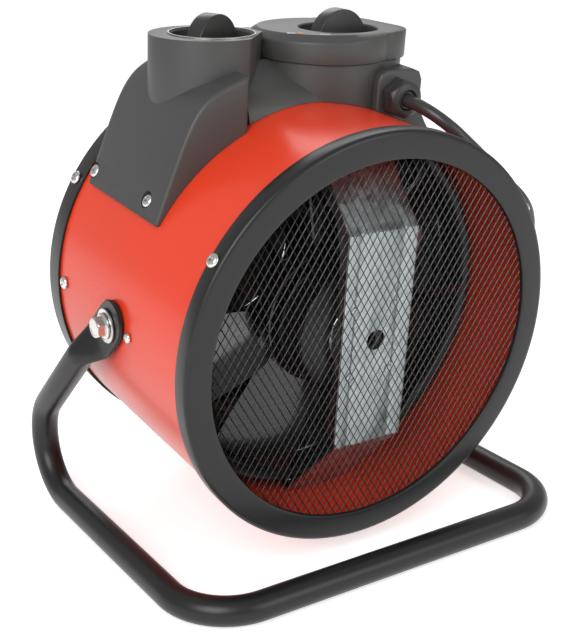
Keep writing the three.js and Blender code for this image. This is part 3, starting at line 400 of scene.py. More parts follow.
def paint_moulding(name, colour, roughness, grain):
    """Moulded plastic with an eroded grain."""
    paint = Paint(name, colour, Specular_IOR_Level=0.5)
    drift, fine = paint.noise(35, 3), paint.noise(grain, 3, 0.7)
    uneven = roughness + 0.12 * (fine - 0.5) + 0.06 * (drift - 0.5)
    cloud = drift * 0.7 + fine * 0.3
    return paint.cover(cloud, paint.shade(0.86), paint.shade(1.15), uneven, fine, 0.06, 0.35)


def paint_metal(name, colour, roughness, grain=0.8):
    """Bare or plated metal with fine marks."""
    paint = Paint(name, colour, Metallic=1.0)
    clouds, marks = paint.noise(9, 4), paint.noise(grain, 2)
    uneven = roughness + 0.18 * (clouds - 0.5) + 0.08 * (marks - 0.5)
    return paint.cover(clouds, paint.shade(0.82), paint.shade(1.08), uneven, marks, 0.015, 0.2)


def paint_galvanised(name, colour):
    """Zinc sheet with its flat crystals."""
    paint = Paint(name, colour, Metallic=1.0)
    cells = {"output": "Color", "Vector": paint.object, "Scale": 1000 / 7.5}
    crystal = paint.node("ShaderNodeSeparateColor", values=[paint.node("ShaderNodeTexVoronoi", **cells)])
    clouds = paint.noise(14, 4)
    cloud = crystal * 0.6 + clouds * 0.4
    uneven = 0.24 + 0.16 * crystal + 0.1 * clouds
    return paint.cover(cloud, paint.shade(0.72), paint.shade(1.1), uneven, crystal, 0.02, 0.2)


def paint_cord(name, colour):
    """Soft black cord sheath with a faint rubbed bloom."""
    paint = Paint(name, colour)
    bloom = paint.noise(18, 4)
    uneven = 0.24 + 0.18 * bloom
    return paint.cover(bloom, paint.shade(0.75), paint.shade(1.5), uneven, paint.noise(1.1, 2), 0.02, 0.2)


def paint_element(name, colour):
    """Heating element sheath, browned by heat in bands."""
    paint = Paint(name, colour, Metallic=0.9)
    heat = paint.noise(22, 5)
    bands, brown = heat.between(0.35, 0.65), (0.16, 0.10, 0.07, 1)
    uneven = 0.38 + 0.25 * heat
    return paint.cover(bands, paint.shade(0.7), brown, uneven, paint.noise(1.5, 3), 0.03, 0.4)


def paint_ceramic(name, colour):
    """Pale ceramic with fine specks."""
    paint = Paint(name, colour)
    speck = paint.noise(1.8, 4)
    spots, uneven = speck.between(0.3, 0.7), 0.45 + 0.15 * speck
    return paint.cover(spots, paint.shade(0.85), paint.shade(1.05), uneven, speck, 0.04, 0.3)


def finish_of(look):
    """The material of a look, made the first time that it is asked for."""
    name = look + "_finish"
    if name in bpy.data.materials:
        return bpy.data.materials[name]
    chosen = bpy.context.scene.heater_colours
    maker, colour, *settings = {
        "drum_red": (paint_gloss, chosen.drum, 0.30, 0.10, 0.05),
        "black_paint": (paint_gloss, chosen.black_paint, 0.34, 0.0, 0.12),
        "housing_plastic": (paint_moulding, chosen.housing, 0.42, 0.9),
        "knob_plastic": (paint_moulding, chosen.knobs, 0.36, 0.7),
        "cord_rubber": (paint_cord, chosen.cord),
        "gland_nylon": (paint_moulding, chosen.cord, 0.40, 0.6),
        "zinc_steel": (paint_metal, (0.72, 0.72, 0.70), 0.26),
        "galvanised_steel": (paint_galvanised, (0.50, 0.54, 0.55)),
        "bare_aluminium": (paint_metal, (0.80, 0.80, 0.79), 0.3, 0.5),
        "fan_black": (paint_gloss, (0.014, 0.014, 0.014), 0.20, 1.0, 0.15),
        "element_steel": (paint_element, (0.42, 0.40, 0.38)),
        "brass": (paint_metal, (0.72, 0.55, 0.26), 0.28),
        "ceramic": (paint_ceramic, (0.62, 0.60, 0.54)),
        "mark_orange": (paint_moulding, (0.70, 0.16, 0.03), 0.4, 0.5),
        "mark_white": (paint_moulding, (0.70, 0.70, 0.68), 0.4, 0.5),
    }[look]
    return maker(name, tuple(colour), *settings)


# ---- Sizes and colours -----------------------------------------------------------------------


def length(name, description, default):
    return FloatProperty(name=name, description=description, default=default * MM, min=0, unit="LENGTH")


def colour(name, description, default):
    settings = {"min": 0, "max": 1, "subtype": "COLOR"}
    return FloatVectorProperty(name=name, description=description, default=default, **settings)


class HeaterSizes(bpy.types.PropertyGroup):
    mesh_width: length("Mesh Width", "Width of one diamond of the intake mesh", 5.6)
    mesh_height: length("Mesh Height", "Height of one diamond of the intake mesh", 9.2)
    mesh_strand: length("Mesh Strand", "Thickness of the intake mesh's strands", 1.0)
    cord_diameter: length("Cord Diameter", "Diameter of the power cord", 8.6)
    edge_rounding: length("Edge Rounding", "Rounding of the housing's edges", 1.6)
    fan_blades: IntProperty(name="Fan Blades", description="Number of fan blades", default=7, min=3, max=12)


class HeaterColours(bpy.types.PropertyGroup):
    drum: colour("Drum", "Enamel of the drum", (0.78, 0.050, 0.015))
    black_paint: colour("Black Paint", "Paint of the rims, mesh and stand", (0.012, 0.012, 0.012))
    housing: colour("Housing", "Plastic of the control housing", (0.052, 0.054, 0.052))
    knobs: colour("Knobs", "Plastic of the knobs", (0.022, 0.022, 0.021))
    cord: colour("Cord", "Sheath of the cord", (0.030, 0.030, 0.030))
    floor: colour("Floor", "Studio floor", (0.86, 0.86, 0.86))


# ---- Stage -----------------------------------------------------------------------------------


class HEATER_OT_stage(bpy.types.Operator):
    """Adds the camera, the lamps, the pale floor and the white surroundings"""

    bl_idname = "heater.stage"
    bl_label = "Stage"

    def execute(self, context):
        self.add_camera(context)
        for name, spot, size, power in (
            ("key_lamp", (-1.6, -1.2, 1.4), 1.6, 34),
            ("front_lamp", (0.9, -2.1, 1.0), 1.4, 12),
            ("back_lamp", (0.9, 1.6, 1.5), 1.2, 8),
        ):
            data = bpy.data.lights.new(name, "AREA")
            data.energy, data.shape, data.size = power, "DISK", size
            self.hang(name, data, Vector(spot), Vector((0, 0, 0.16)) - Vector(spot))
        self.add_floor(context)
        self.light_world(context)
        context.scene.view_settings.view_transform = "Standard"
        return {"FINISHED"}

    def hang(self, name, data, spot, ahead):
        """Adds a camera or a lamp at a spot, turned to look ahead."""
        piece = bpy.data.objects.new(name, data)
        bpy.context.collection.objects.link(piece)
        piece.location = spot
        piece.rotation_mode = "QUATERNION"
        piece.rotation_quaternion = ahead.to_track_quat("-Z", "Y")
        return piece

    def add_camera(self, context):
        data = bpy.data.cameras.new("photo_camera")
        data.sensor_width = 36
        data.lens = 70.07
        azimuth, elevation = math.radians(-37.49), math.radians(19.27)
        level = math.cos(elevation)
        ahead = Vector((-math.sin(azimuth) * level, math.cos(azimuth) * level, -math.sin(elevation)))
        right = ahead.cross(Vector((0, 0, 1))).normalized()
        # the picture's middle lies to the left of the line that was fitted, and a little above it
        ahead = ahead * 1000 - right * 75.27 + right.cross(ahead) * 8.28
        context.scene.camera = self.hang("photo_camera", data, Vector((-449.67, -679.18, 420.05)) * MM, ahead)

    def add_floor(self, context):
        floor = add("circle", vertices=96, radius=6, fill_type="NGON")
        settle()
        floor.name = "floor"
        colour = tuple(context.scene.heater_colours.floor)
        paint = Paint("floor_finish", colour, Roughness=0.8, Specular_IOR_Level=0.0)
        glow = paint.node("ShaderNodeEmission", Strength=paint.seen_by("Camera", "Glossy") * 0.55)
        both = paint.node("ShaderNodeAddShader", values=[Signal(paint, paint.shader.outputs[0]), glow])
        paint.feed(paint.tree.nodes["Material Output"].inputs["Surface"], both)
        floor.data.materials.append(paint.material)

    def light_world(self, context):
        world = bpy.data.worlds.new("studio")
        context.scene.world = world
        world.use_nodes = True
        nodes = Nodes(world.node_tree)
        back = nodes.tree.nodes["Background"]
        nodes.feed(back.inputs["Color"], (1, 1, 1, 1))
        nodes.feed(back.inputs["Strength"], 0.5 + 0.5 * nodes.seen_by("Camera", "Transmission"))


# ---- Cord ------------------------------------------------------------------------------------

# The free stretch's middle line, from inside the gland to the start of the coil, in millimetres
CORD_ROUTE = [
    (59.5, -33.7, 294.7), (61.4, -52.9, 290.9), (70.2, -67.6, 281.3), (83.5, -73.7, 268.3),
    (98.6, -74.2, 255.4), (113.8, -75.2, 241.4), (130.2, -76.8, 226.5), (141.4, -73.5, 212.4),
    (148.1, -66.4, 195.8), (151.4, -56.8, 176.6), (152.7, -46.2, 158.3), (153.2, -34.5, 142.3),
    (152.3, -21.4, 127.5), (151.0, -7.2, 113.7), (149.1, 7.8, 100.9), (146.8, 22.9, 88.2),
    (144.1, 38.1, 75.7), (140.7, 53.0, 63.1), (136.4, 67.2, 49.9), (131.7, 81.5, 37.0), (127.3, 96.4, 24.6),
    (122.9, 112.4, 13.8), (118.6, 130.5, 7.0), (114.8, 149.8, 4.4), (110.2, 169.0, 4.4),
]
COIL_CENTRE = (38, 182)
COIL_START = 14  # degrees
COIL_INNER = 43.5
COIL_PITCH = 9.2
COIL_TURNS = 2  # in each of two layers
COIL_STEPS = 24
CORD_REST = 4.4  # height of the middle line over the floor
PLUG_RADIUS = 18.5
TAIL = 10.3


def smoothstep(value, low, high):
    t = min(1.0, max(0.0, (value - low) / (high - low)))
    return t * t * (3 - 2 * t)


def coil_point(turn):
    """A point of the coil's middle line: in along the lower layer, up, and out along the upper one."""
    radius = COIL_INNER + COIL_PITCH * abs(COIL_TURNS - turn)
    angle = math.radians(COIL_START) + 2 * math.pi * turn
    climb = smoothstep(turn, COIL_TURNS - 0.25, COIL_TURNS + 0.25)
    lift = smoothstep(turn, 2 * COIL_TURNS - 0.45, 2 * COIL_TURNS)
    height = CORD_REST + COIL_PITCH * climb + (PLUG_RADIUS - CORD_REST - COIL_PITCH) * lift
    x, y = COIL_CENTRE
    return Vector((x + radius * math.cos(angle), y + radius * math.sin(angle), height))


class HEATER_OT_cord(bpy.types.Operator):
    """Lays the power cord from the gland round the drum to its coil, with its plug"""

    bl_idname = "heater.cord"
    bl_label = "Cord and Plug"

    def execute(self, context):
        coil = [coil_point(i / COIL_STEPS) for i in range(2 * COIL_TURNS * COIL_STEPS + 1)]
        out = (coil[-1] - coil[-2]) * Vector((1, 1, 0))
        out.normalize()
        points = [Vector(p) for p in CORD_ROUTE] + coil + [coil[-1] + out * TAIL]
        data = bpy.data.curves.new("cord", "CURVE")
        data.dimensions = "3D"
        line = data.splines.new("BEZIER")
        line.bezier_points.add(len(points) - 1)
        for knot, point in zip(line.bezier_points, points):
            knot.co = point * MM
            knot.handle_left_type = knot.handle_right_type = "AUTO"
        data.resolution_u = 6
        path = self.as_mesh(data)
        bpy.data.meshes.remove(path.data)

        diameter = context.scene.heater_sizes.cord_diameter
        data.bevel_depth = diameter / 2
        data.bevel_resolution = 3
        data.use_fill_caps = True
        cord = self.as_mesh(data)
        bpy.ops.object.shade_smooth_by_angle(angle=math.radians(50))
        cord.data.materials.clear()
        cord.data.materials.append(finish_of("cord_rubber"))
        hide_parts("power_cord", "cord_coil")
        settle()
        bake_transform(cord)

        plug, pins = self.add_plug(coil[-1] + out * (TAIL + 0.3), out)
        return {"FINISHED"}

    def as_mesh(self, data):
        curve = bpy.data.objects.new("cord", data.copy())
        bpy.context.collection.objects.link(curve)
        activate(curve)
        bpy.ops.object.convert(target="MESH")
        mesh = bpy.context.object
        mesh.name = mesh.data.name = "cord"
        return mesh

    def add_plug(self, start, out):
        """A moulded plug with a ribbed neck, flats for the fingers and two pins."""
        outline = [(0, 0), (5.6, 0), (6.6, 0.8)]
        for rib in range(3):
            y, crest, groove = 1.6 + rib * 4.2, 6.9 + rib * 0.3, 5.9 + rib * 0.4
            outline += [(crest, y), (crest + 0.1, y + 2.4), (groove, y + 2.8), (groove, y + 3.8)]
        outline += [
            (8.2, 15.6), (11.2, 18.4), (15.2, 23), (17.6, 27.5), (18.3, 31), (18.3, 45.2), (17.6, 47.2),
            (16.4, 48.6), (15.0, 49.6), (13.6, 50), (0, 50),
        ]
        plug = turned(outline)
        for side in (-1, 1):
            pick_faces(lambda p: 29 < p.y < 46.5 and side * p.z > 11)
            inset(1.2)
            move(z=-side * 1.1)
        matrix = shift(*start) @ Matrix.Rotation(math.atan2(out.y, out.x) - math.pi / 2, 4, "Z")
        finish(plug, "plug", "cord_rubber", ["plug_body"], matrix, "stand", angle=40)
        pins = []
        for label, side in SIDES:
            pin = turned([(0, 50.3), (2.4, 50.3), (2.4, 66.8), (2.1, 68.2), (1.3, 69.1), (0, 69.3)], 24)
            pins.append(pin)
            finish(pin, f"pin_{label}", "brass", [f"plug_pin_{label}"], matrix @ shift(side * 9.5), "stand")
        return plug, pins


# ---- Stand -----------------------------------------------------------------------------------

TUBE = 9.5
STAND_HALF = 146.4
BAR_Y = -117.85
REAR_BEND = 38
FRONT_BEND = 42
BEND_Y = 79.85
BEND_Z = TUBE + REAR_BEND
EYE_INNER = 136.9
EYE_THICK = 3.4
EYE_HALF = 15


class HEATER_OT_stand(bpy.types.Operator):
    """Bends the tube stand, from one flattened eye down, round the floor and up to the other"""

    bl_idname = "heater.stand"
    bl_label = "Stand"

    def execute(self, context):
        rise, run = PIVOT.z - BEND_Z, BEND_Y - PIVOT.y
        span = math.hypot(rise, run)
        drop = math.atan2(rise, run) - math.asin(REAR_BEND / span)
        arm = math.sqrt(span**2 - REAR_BEND**2)

        # the eye and its taper, in a frame that lies along the arm with the bolt at its origin
        stand = add("circle", vertices=40, radius=TUBE * MM)
        place(stand, shift(-STAND_HALF, 42) @ tilt(90, "X"))
        activate(stand, "EDIT")
        half_thick, half_wide, x, y = TUBE, TUBE, -STAND_HALF, 42
        stations = [(42 - 26 * t, t) for t in (0.2, 0.4, 0.6, 0.8, 1.0)] + [(6, 1), (-4.5, 1)]
        for goal, taper in stations:
            ease = smoothstep(taper, 0, 1)
            thick = TUBE + (EYE_THICK / 2 - TUBE) * ease
            wide = TUBE + (EYE_HALF - TUBE) * ease
            self.next_ring(goal - y, (thick / half_thick, wide / half_wide), x, y)
            move(x=-(EYE_INNER + thick) - x)
            half_thick, half_wide, x, y = thick, wide, -(EYE_INNER + thick), goal
        for degrees in (20, 40, 60, 75, 86):
            goal = -4.5 - EYE_HALF * math.sin(math.radians(degrees))
            wide = EYE_HALF * math.cos(math.radians(degrees))
            self.next_ring(goal - y, (1, wide / half_wide), x, y)
            half_wide, y = wide, goal
        bpy.ops.mesh.edge_face_add()
        # the eye is pressed flat: both sides go to its two planes
        for side in (-1, 1):
            plane = -(EYE_INNER + EYE_THICK / 2) + side * EYE_THICK / 2
            pick_corners(lambda p: p.y < 16.1 and (p.x - x) * side > EYE_THICK * 0.14)
            scale((0, 1, 1), (plane, 0, 0))
        place(stand, shift(*PIVOT) @ Matrix.Rotation(-drop, 4, "X"))

        activate(stand, "EDIT")
        along = Vector((0, math.cos(drop), -math.sin(drop)))
        pick_edges(lambda p: abs((p - PIVOT).dot(along) - 42) < 0.01)
        extrude(*(along * (arm - 46)))
        extrude(*(along * 4))
        spin(-(180 - math.degrees(drop)), 24, (-STAND_HALF, BEND_Y, BEND_Z), (1, 0, 0))
        for step in (-4, BAR_Y + FRONT_BEND - BEND_Y + 8, -4):
            extrude(y=step)
        spin(90, 20, (-STAND_HALF + FRONT_BEND, BAR_Y + FRONT_BEND, TUBE), (0, 0, 1))
        extrude(x=4)
        extrude(x=STAND_HALF - FRONT_BEND - 4)
        tidy_mesh(0.02)
        modify(stand, "MIRROR", use_axis=(True, False, False), use_mirror_merge=True, merge_threshold=0.0001)
        middle = EYE_INNER + EYE_THICK / 2
        holes = [
            cylinder((side * middle, PIVOT.y, PIVOT.z), 4.4, 20, (0, math.pi / 2, 0), 40) for side in (-1, 1)
        ]
        combine(stand, "DIFFERENCE", *holes)
        activate(stand, "EDIT")
        tidy_mesh(0.02)
        finish(stand, "stand", "black_paint", ["stand_tube"], FLOOR, "stand", angle=50)
        return {"FINISHED"}

    def next_ring(self, step, factors, x, y):
        extrude(y=step)
        scale((factors[0], 1, factors[1]), (x, y + step, 0))


# ---- Drum ------------------------------------------------------------------------------------

BARREL = 136.5
BARREL_INNER = 135.3
BARREL_ENDS = (3.7, 201.4)


class HEATER_OT_drum(bpy.types.Operator):
    """Rolls the red barrel and presses its two black end rings"""

    bl_idname = "heater.drum"
    bl_label = "Drum and End Rings"

    def execute(self, context):
        start, end = BARREL_ENDS
        outer = [(BARREL, depth) for depth in (start, 20, 62, 104, 146, 186, end)]
        barrel = turned(outer + [(BARREL_INNER, depth) for depth in (end, 104, start)], 144)
        # the lap of the rolled sheet runs along the bottom
        pick_faces(lambda p: p.z < -BARREL * 0.99 and math.hypot(p.x, p.z) > BARREL - 0.3 and abs(p.x) < 6.5)
        extrude(z=-0.5)
        finish(barrel, "barrel", "drum_red", ["barrel_shell"])

        rim = turned([
            (122, 0.9), (122.3, 0.35), (123, 0.1), (124.5, 0), (136.6, 0), (138.1, 0.25), (139.2, 0.9),
            (139.8, 1.8), (140, 2.9), (140, 12.2), (139.8, 12.8), (139.2, 13), (136.9, 13), (136.9, 3.3),
            (122.4, 3.3), (122, 2.9),
        ], 160)
        finish(rim, "front_rim", "black_paint", ["intake_rim"])

        ring = turned([
            (136.9, 187.1), (138.1, 187.1), (138.3, 187.4), (138.3, 201.6), (138.0, 202.7), (137.2, 203.4),
            (136.0, 203.7), (122.0, 203.7), (121.3, 203.4), (121, 202.8), (121, 201.9), (136.9, 201.9),
        ], 160)
        finish(ring, "rear_ring", "black_paint", ["outlet_ring"])
        return {"FINISHED"}


class HEATER_OT_guards(bpy.types.Operator):
    """Expands the fine intake mesh and punches the outlet grille"""

    bl_idname = "heater.guards"
    bl_label = "Intake Mesh and Outlet Grille"

    def execute(self, context):
        sizes = context.scene.heater_sizes
        cells = 58
        mesh = add("grid", x_subdivisions=cells, y_subdivisions=cells, size=cells)
        diagonal = math.sqrt(2)
        # turned, stretched and set upright one by one, as one matrix would lose the slant of the strands
        place(mesh, tilt(45, "Z"))
        place(mesh, Matrix.Diagonal((sizes.mesh_width / diagonal, sizes.mesh_height / diagonal, 1, 1)))
        place(mesh, shift(y=4) @ tilt(90, "X"))
        activate(mesh, "EDIT")
        pick_corners(lambda p: math.hypot(p.x, p.z) > 134)
        bpy.ops.mesh.delete(type="VERT")
        modify(mesh, "WIREFRAME", thickness=sizes.mesh_strand, use_even_offset=False, use_boundary=True)
        finish(mesh, "intake_guard", "black_paint", ["intake_mesh"], angle=30)

        louvre, *others = [
            turned([
                (outer, 198), (inner, 188.2), (inner, 187.2), (inner + 1, 187.2), (outer - 0.2, 196.9),
                (outer, 197),
            ], 96)
            for inner, outer in ((14, 56), (50, 90), (84, 124))
        ]
        combine(louvre, "UNION", *others)
        finish(louvre, "outlet_louvres", "black_paint")
        finish(self.punched_plate(), "outlet_guard", "black_paint", ["outlet_grille"])
        return {"FINISHED"}

    def punched_plate(self):
        hub, opening, rings, sectors, bar = 20, 121, 3, 9, 4.5
        pitch = (opening - hub) / rings
        radii = [hub + pitch * i for i in range(rings + 1)]
        steps = 10
        plate = drawn([(radius, 199.6, 0) for radius in [0.001, *radii, 134.9]])
        pick_all()
        spin(360, sectors * steps)
        tidy_mesh(0.01)
        wedge = 360 / sectors
        for ring in range(rings):
            for sector in range(sectors):

                def inside(p):
                    turn = (math.degrees(math.atan2(p.z, p.x)) - sector * wedge + 180) % 360 - 180
                    reach = math.hypot(p.x, p.z)
                    return -0.2 < turn < wedge + 0.2 and radii[ring] - 0.1 < reach < radii[ring + 1] + 0.1

                pick_faces(inside)
                inset(bar / 2)
                bpy.ops.mesh.delete(type="FACE")
        modify(plate, "SOLIDIFY", thickness=1.6 * MM, offset=0)
        soften(plate, 0.45, 50)
        return plate


# ---- Motor, bracket and fan ------------------------------------------------------------------


class HEATER_OT_bracket(bpy.types.Operator):
    """Bends the galvanised strap that holds the motor"""

    bl_idname = "heater.bracket"
    bl_label = "Motor Bracket"

    def execute(self, context):
        left, right, upright = -23, 30, 73.5
        columns = [
            (left, 0), (-16, 0), (-14, 1), (-12, 1), (-10, 0), (3, 0), (17, 0), (19, 1), (21, 1), (23, 0),
            (right, 0),
        ]
        strap = drawn([(x, 9 + dip, -upright) for x, dip in columns])
        pick_all()
        extrude(z=2 * upright)
        # both ends lean back to the barrel, and end in feet that lie on it
        for side in (-1, 1):
            pick_edges(lambda p: abs(p.z - side * upright) < 0.01)
            extrude(y=3, z=side * 3.4)
            scale((1, 0, 1), (0, 12.5, 0))
            extrude(y=47.5, z=side * 54)
            extrude(y=8, z=side * 3)
            extrude(y=12.5)
            for x, _ in columns:
                reach = math.sqrt((BARREL_INNER - 1.6) ** 2 - x * x)
                pick_corners(lambda p: abs(p.x - x) < 0.01 and p.y > 59.5 and p.z * side > 100)
                scale((1, 1, 0), (0, 0, side * reach))
        tidy_mesh(0.05)
        pick_edges(lambda p: abs(p.y - 12.5) < 0.6 and abs(p.z) > upright)
        bevel(3, 3)
        modify(strap, "SOLIDIFY", thickness=1.8 * MM, offset=0, use_even_offset=True)
        foot = -BARREL_INNER
        holes = [cylinder((3.5, 9, 0), 7, 20, (math.pi / 2, 0, 0))]
        for x, y, radius in ((-15, 72, 2.4), (15, 72, 2.4), (0, 70, 4.5)):
            holes.append(cylinder((x, y, foot), radius, 20))
        combine(strap, "DIFFERENCE", *holes)

        # the left edge's flange, deep at the top with a round cut-out, shallow further down
        bite = [(35.8, 88), *arc((31, 77), 9.5, 70, 195, 10)]
        flange = [(9, -68), (9, upright), (37, 105.5), (43, 104), *bite, (17, 60), (15, 30), (15, -52)]
        left_flange = sheet_cut([(left - 0.2, y, z) for y, z in flange], x=1.8)
        right_flange = sheet_cut([
            (right - 1.5, 8.2, 70), (right + 7, 13, 71), (right + 8, 14, 68), (right + 1, 10, 44),
            (right - 1.5, 8.2, 40),
        ], y=1.8)
        combine(strap, "UNION", left_flange, right_flange)
        soften(strap, 0.5, 40)
        for x, z in ((-12, 23), (19, 23), (-12, -23), (19, -23)):
            rivet = turned([(0, 6.6), (1.6, 6.6), (2.7, 7.1), (3.1, 8.2), (3.1, 10), (0, 10)], 24)
            place(rivet, shift(x - 3.5, 0, z))
            combine(strap, "UNION", rivet)
        finish(strap, "motor_strap", "galvanised_steel", ["motor_bracket"], angle=40)
        return {"FINISHED"}


class HEATER_OT_motor(bpy.types.Operator):
    """Turns the motor's front bell and can"""

    bl_idname = "heater.motor"
    bl_label = "Motor"

    def execute(self, context):
        bell = turned([
            (5, 10.3), (12.6, 10.3), (13.6, 10.7), (14, 11.7), (14, 18.6), (14.6, 19.8), (16, 20.4),
            (20, 20.9), (28, 21), (30.5, 21.4), (32.5, 22.3), (41.0, 26), (41.8, 26.8), (42, 27.9),
            (40.6, 27.9), (29, 23.6), (14, 27), (11.3, 27), (11.3, 20.1), (5, 20.1),
        ], 72)
        finish(bell, "motor_bell", "black_paint", ["motor_front_bell"])
        plate = turned([
            (14.2, 20.2), (14.6, 19.6), (22.6, 19.9), (23.6, 20.2), (24, 20.8), (24, 21.4), (14.2, 21.4),
        ])
        finish(plate, "motor_plate", "bare_aluminium")
        can = turned([
            (40.5, 28.4), (41.6, 28.4), (42, 28.8), (42, 31.2), (41.4, 31.8), (41.4, 50), (42, 50.6),
            (42, 52.2), (41.2, 53.6), (39.6, 54), (5, 54), (5, 52.5), (39, 52.5), (40.2, 51.6), (40.2, 32),
        ], 72)
        finish(can, "motor_case", "black_paint", ["motor_can"])
        return {"FINISHED"}


class HEATER_OT_fan(bpy.types.Operator):
    """Shapes one twisted blade, repeats it round the hub, and adds the shroud"""

    bl_idname = "heater.fan"
    bl_label = "Fan and Shroud"

    def execute(self, context):
        blades = context.scene.heater_sizes.fan_blades
        root, tip, start, rows, columns = 46.5, 117, 42, 14, 8
        aside = 1000  # a row that is done goes out of the way of the next one's test
        blade = add("grid", x_subdivisions=columns, y_subdivisions=rows, size=1)
        place(blade, Matrix.Diagonal((MM, MM, 1, 1)))
        activate(blade, "EDIT")
        for column in range(columns + 1):
            share = column / columns - 0.5
            pick_corners(lambda p: abs(p.x - share) < 0.01)
            move(z=-0.08 * (1 - 4 * share * share))
        for row in range(rows + 1):
            spot = row / rows - 0.5
            radius = start + (tip + 5 - start) * row / rows
            along = min(1, max(0, (radius - root) / (tip - root)))
            chord = 30 + 28 * math.sqrt(along)
            pick_corners(lambda p: abs(p.y - spot) < 0.01)
            scale((chord, 1, chord), (0, spot, 0))
            rotate(38 - 14 * along, (0, spot, 0), "Y")
            move(y=radius - spot + aside)
        place(blade, shift(y=68) @ tilt(90, "X") @ shift(y=-aside))
        modify(blade, "SOLIDIFY", thickness=1.4 * MM, offset=0)
        ring = turned([(root, 30), (tip - 0.2, 30), (tip - 0.2, 110), (root, 110)], 128)
        combine(blade, "INTERSECT", ring)
        activate(blade, "EDIT")
        pick("EDGE", lambda ends: (ends[0] - ends[1]).length < 2.2 and all(
            math.hypot(p.x, p.z) > tip - 0.4 and abs(p.x) > 22 for p in ends
        ))
        bevel(6, 5)
        pick_all()
        spin(360 * (blades - 1) / blades, blades - 1, copies=True)
        hub = turned([
            (4.3, 59), (45.5, 59), (45.5, 56), (46.2, 55.2), (47.2, 55), (48, 55.6), (48, 67.4), (47.2, 68),
            (45.5, 68), (45.5, 61.5), (11, 61.5), (11, 76), (10, 77), (4.3, 77),
        ], 84)
        combine(blade, "UNION", hub)
        finish(blade, "fan_wheel", "fan_black", ["fan"], body="fan_rotor", angle=35)

        shroud = turned([
            (125.5, 60), (124.2, 60.3), (121.8, 62), (120.1, 64.2), (119.5, 66.6), (119.5, 84), (134.9, 84),
            (134.9, 82.8), (120.7, 82.8), (120.7, 66.8), (121.2, 65), (122.6, 63.2), (124.6, 61.6),
            (126.4, 61),
        ], 128)
        finish(shroud, "shroud", "black_paint", ["fan_shroud"])
        return {"FINISHED"}


# ---- Control housing -------------------------------------------------------------------------

DECK_HEIGHT = 176.8
CROWN = (55.2, 159.4)
FOOT_ANGLE = 58.8
FOOT_RADIUS = 139.9
HOUSING_FRONT = 79
CAP_SEAT = 160.3
LEFT_TOWER = ((-57.5, 132), 36.6)  # centre and radius
RIGHT_TOWER = (30, 47.5)  # x and radius
RIGHT_WALL = 80.5
LEFT_KNOB = (-54, 130, 20)  # x, y and turn
RIGHT_KNOB = (38, 121, 0)
HOUSING_FRONT_SCREW = (98.8, 54.3)  # depth and angle from the top
HOUSING_REAR_SCREW = (174, 55)
RECESS = (26.5, 8)  # radius and depth of the hollow that a knob stands in
DECK = DRUM @ shift(0, TOWER_Y, DECK_HEIGHT) @ tilt(-DECK_SLOPE, "X")


def bezier(a, b, c, d, steps):
    """Points of a curve that leaves a towards b and reaches d from c."""
    points = []
    for i in range(steps + 1):
        t = i / steps
        weights = (1 - t) ** 3, 3 * t * (1 - t) ** 2, 3 * t * t * (1 - t), t**3
        points.append(tuple(sum(w * corner[k] for w, corner in zip(weights, (a, b, c, d))) for k in (0, 1)))
    return points


def tower_block(outline, bottom, top=None):
    """An upright block with that plan, cut off at a height or at the sloping deck."""
    block = sheet_cut([(x, y, bottom) for x, y in outline], z=240 - bottom)
    slope = math.radians(DECK_SLOPE if top is None else 0)
    centre = Vector((0, TOWER_Y, DECK_HEIGHT if top is None else top))
    normal = Vector((0, math.sin(slope), math.cos(slope)))
    pick_all()
    bpy.ops.mesh.bisect(plane_co=centre * MM, plane_no=normal, use_fill=True, clear_outer=True)
    tidy_mesh()
    return block


def on_deck(x, y, z=0):
    """A place on the deck at that place of the drum's plan, and z over it."""
    return DECK @ shift(x, (y - TOWER_Y) / math.cos(math.radians(DECK_SLOPE)), z)


def deck_cutter(knob):
    """A round cutter square to the deck, with a flared mouth."""
    radius, depth = RECESS
    lip = 0.8
    cutter = turned([
        (0, -depth), (radius - 1, -depth), (radius, 1 - depth), (radius, -lip), (radius + lip, 0),
        (radius + lip, 8), (0, 8),
    ], 96)
    place(cutter, DRUM.inverted() @ on_deck(*knob[:2]) @ tilt(90, "X"))
    return cutter


def tower_plan(grow):
    """The right tower's plan: a round with a rounded block behind its right side."""
    x, radius = RIGHT_TOWER[0], RIGHT_TOWER[1] + grow
    right, front, rear, corner = RIGHT_WALL + grow, 89 - grow, 171 + grow, 24 + grow
    meet = math.degrees(math.asin((TOWER_Y - front) / radius))
    plan = arc((x, TOWER_Y), radius, meet, 360 - meet, 64)
    plan += arc((right - corner, front + corner), corner, -90, 0, 16)
    plan += arc((right - corner, rear - corner), corner, 0, 90, 16)
    return plan


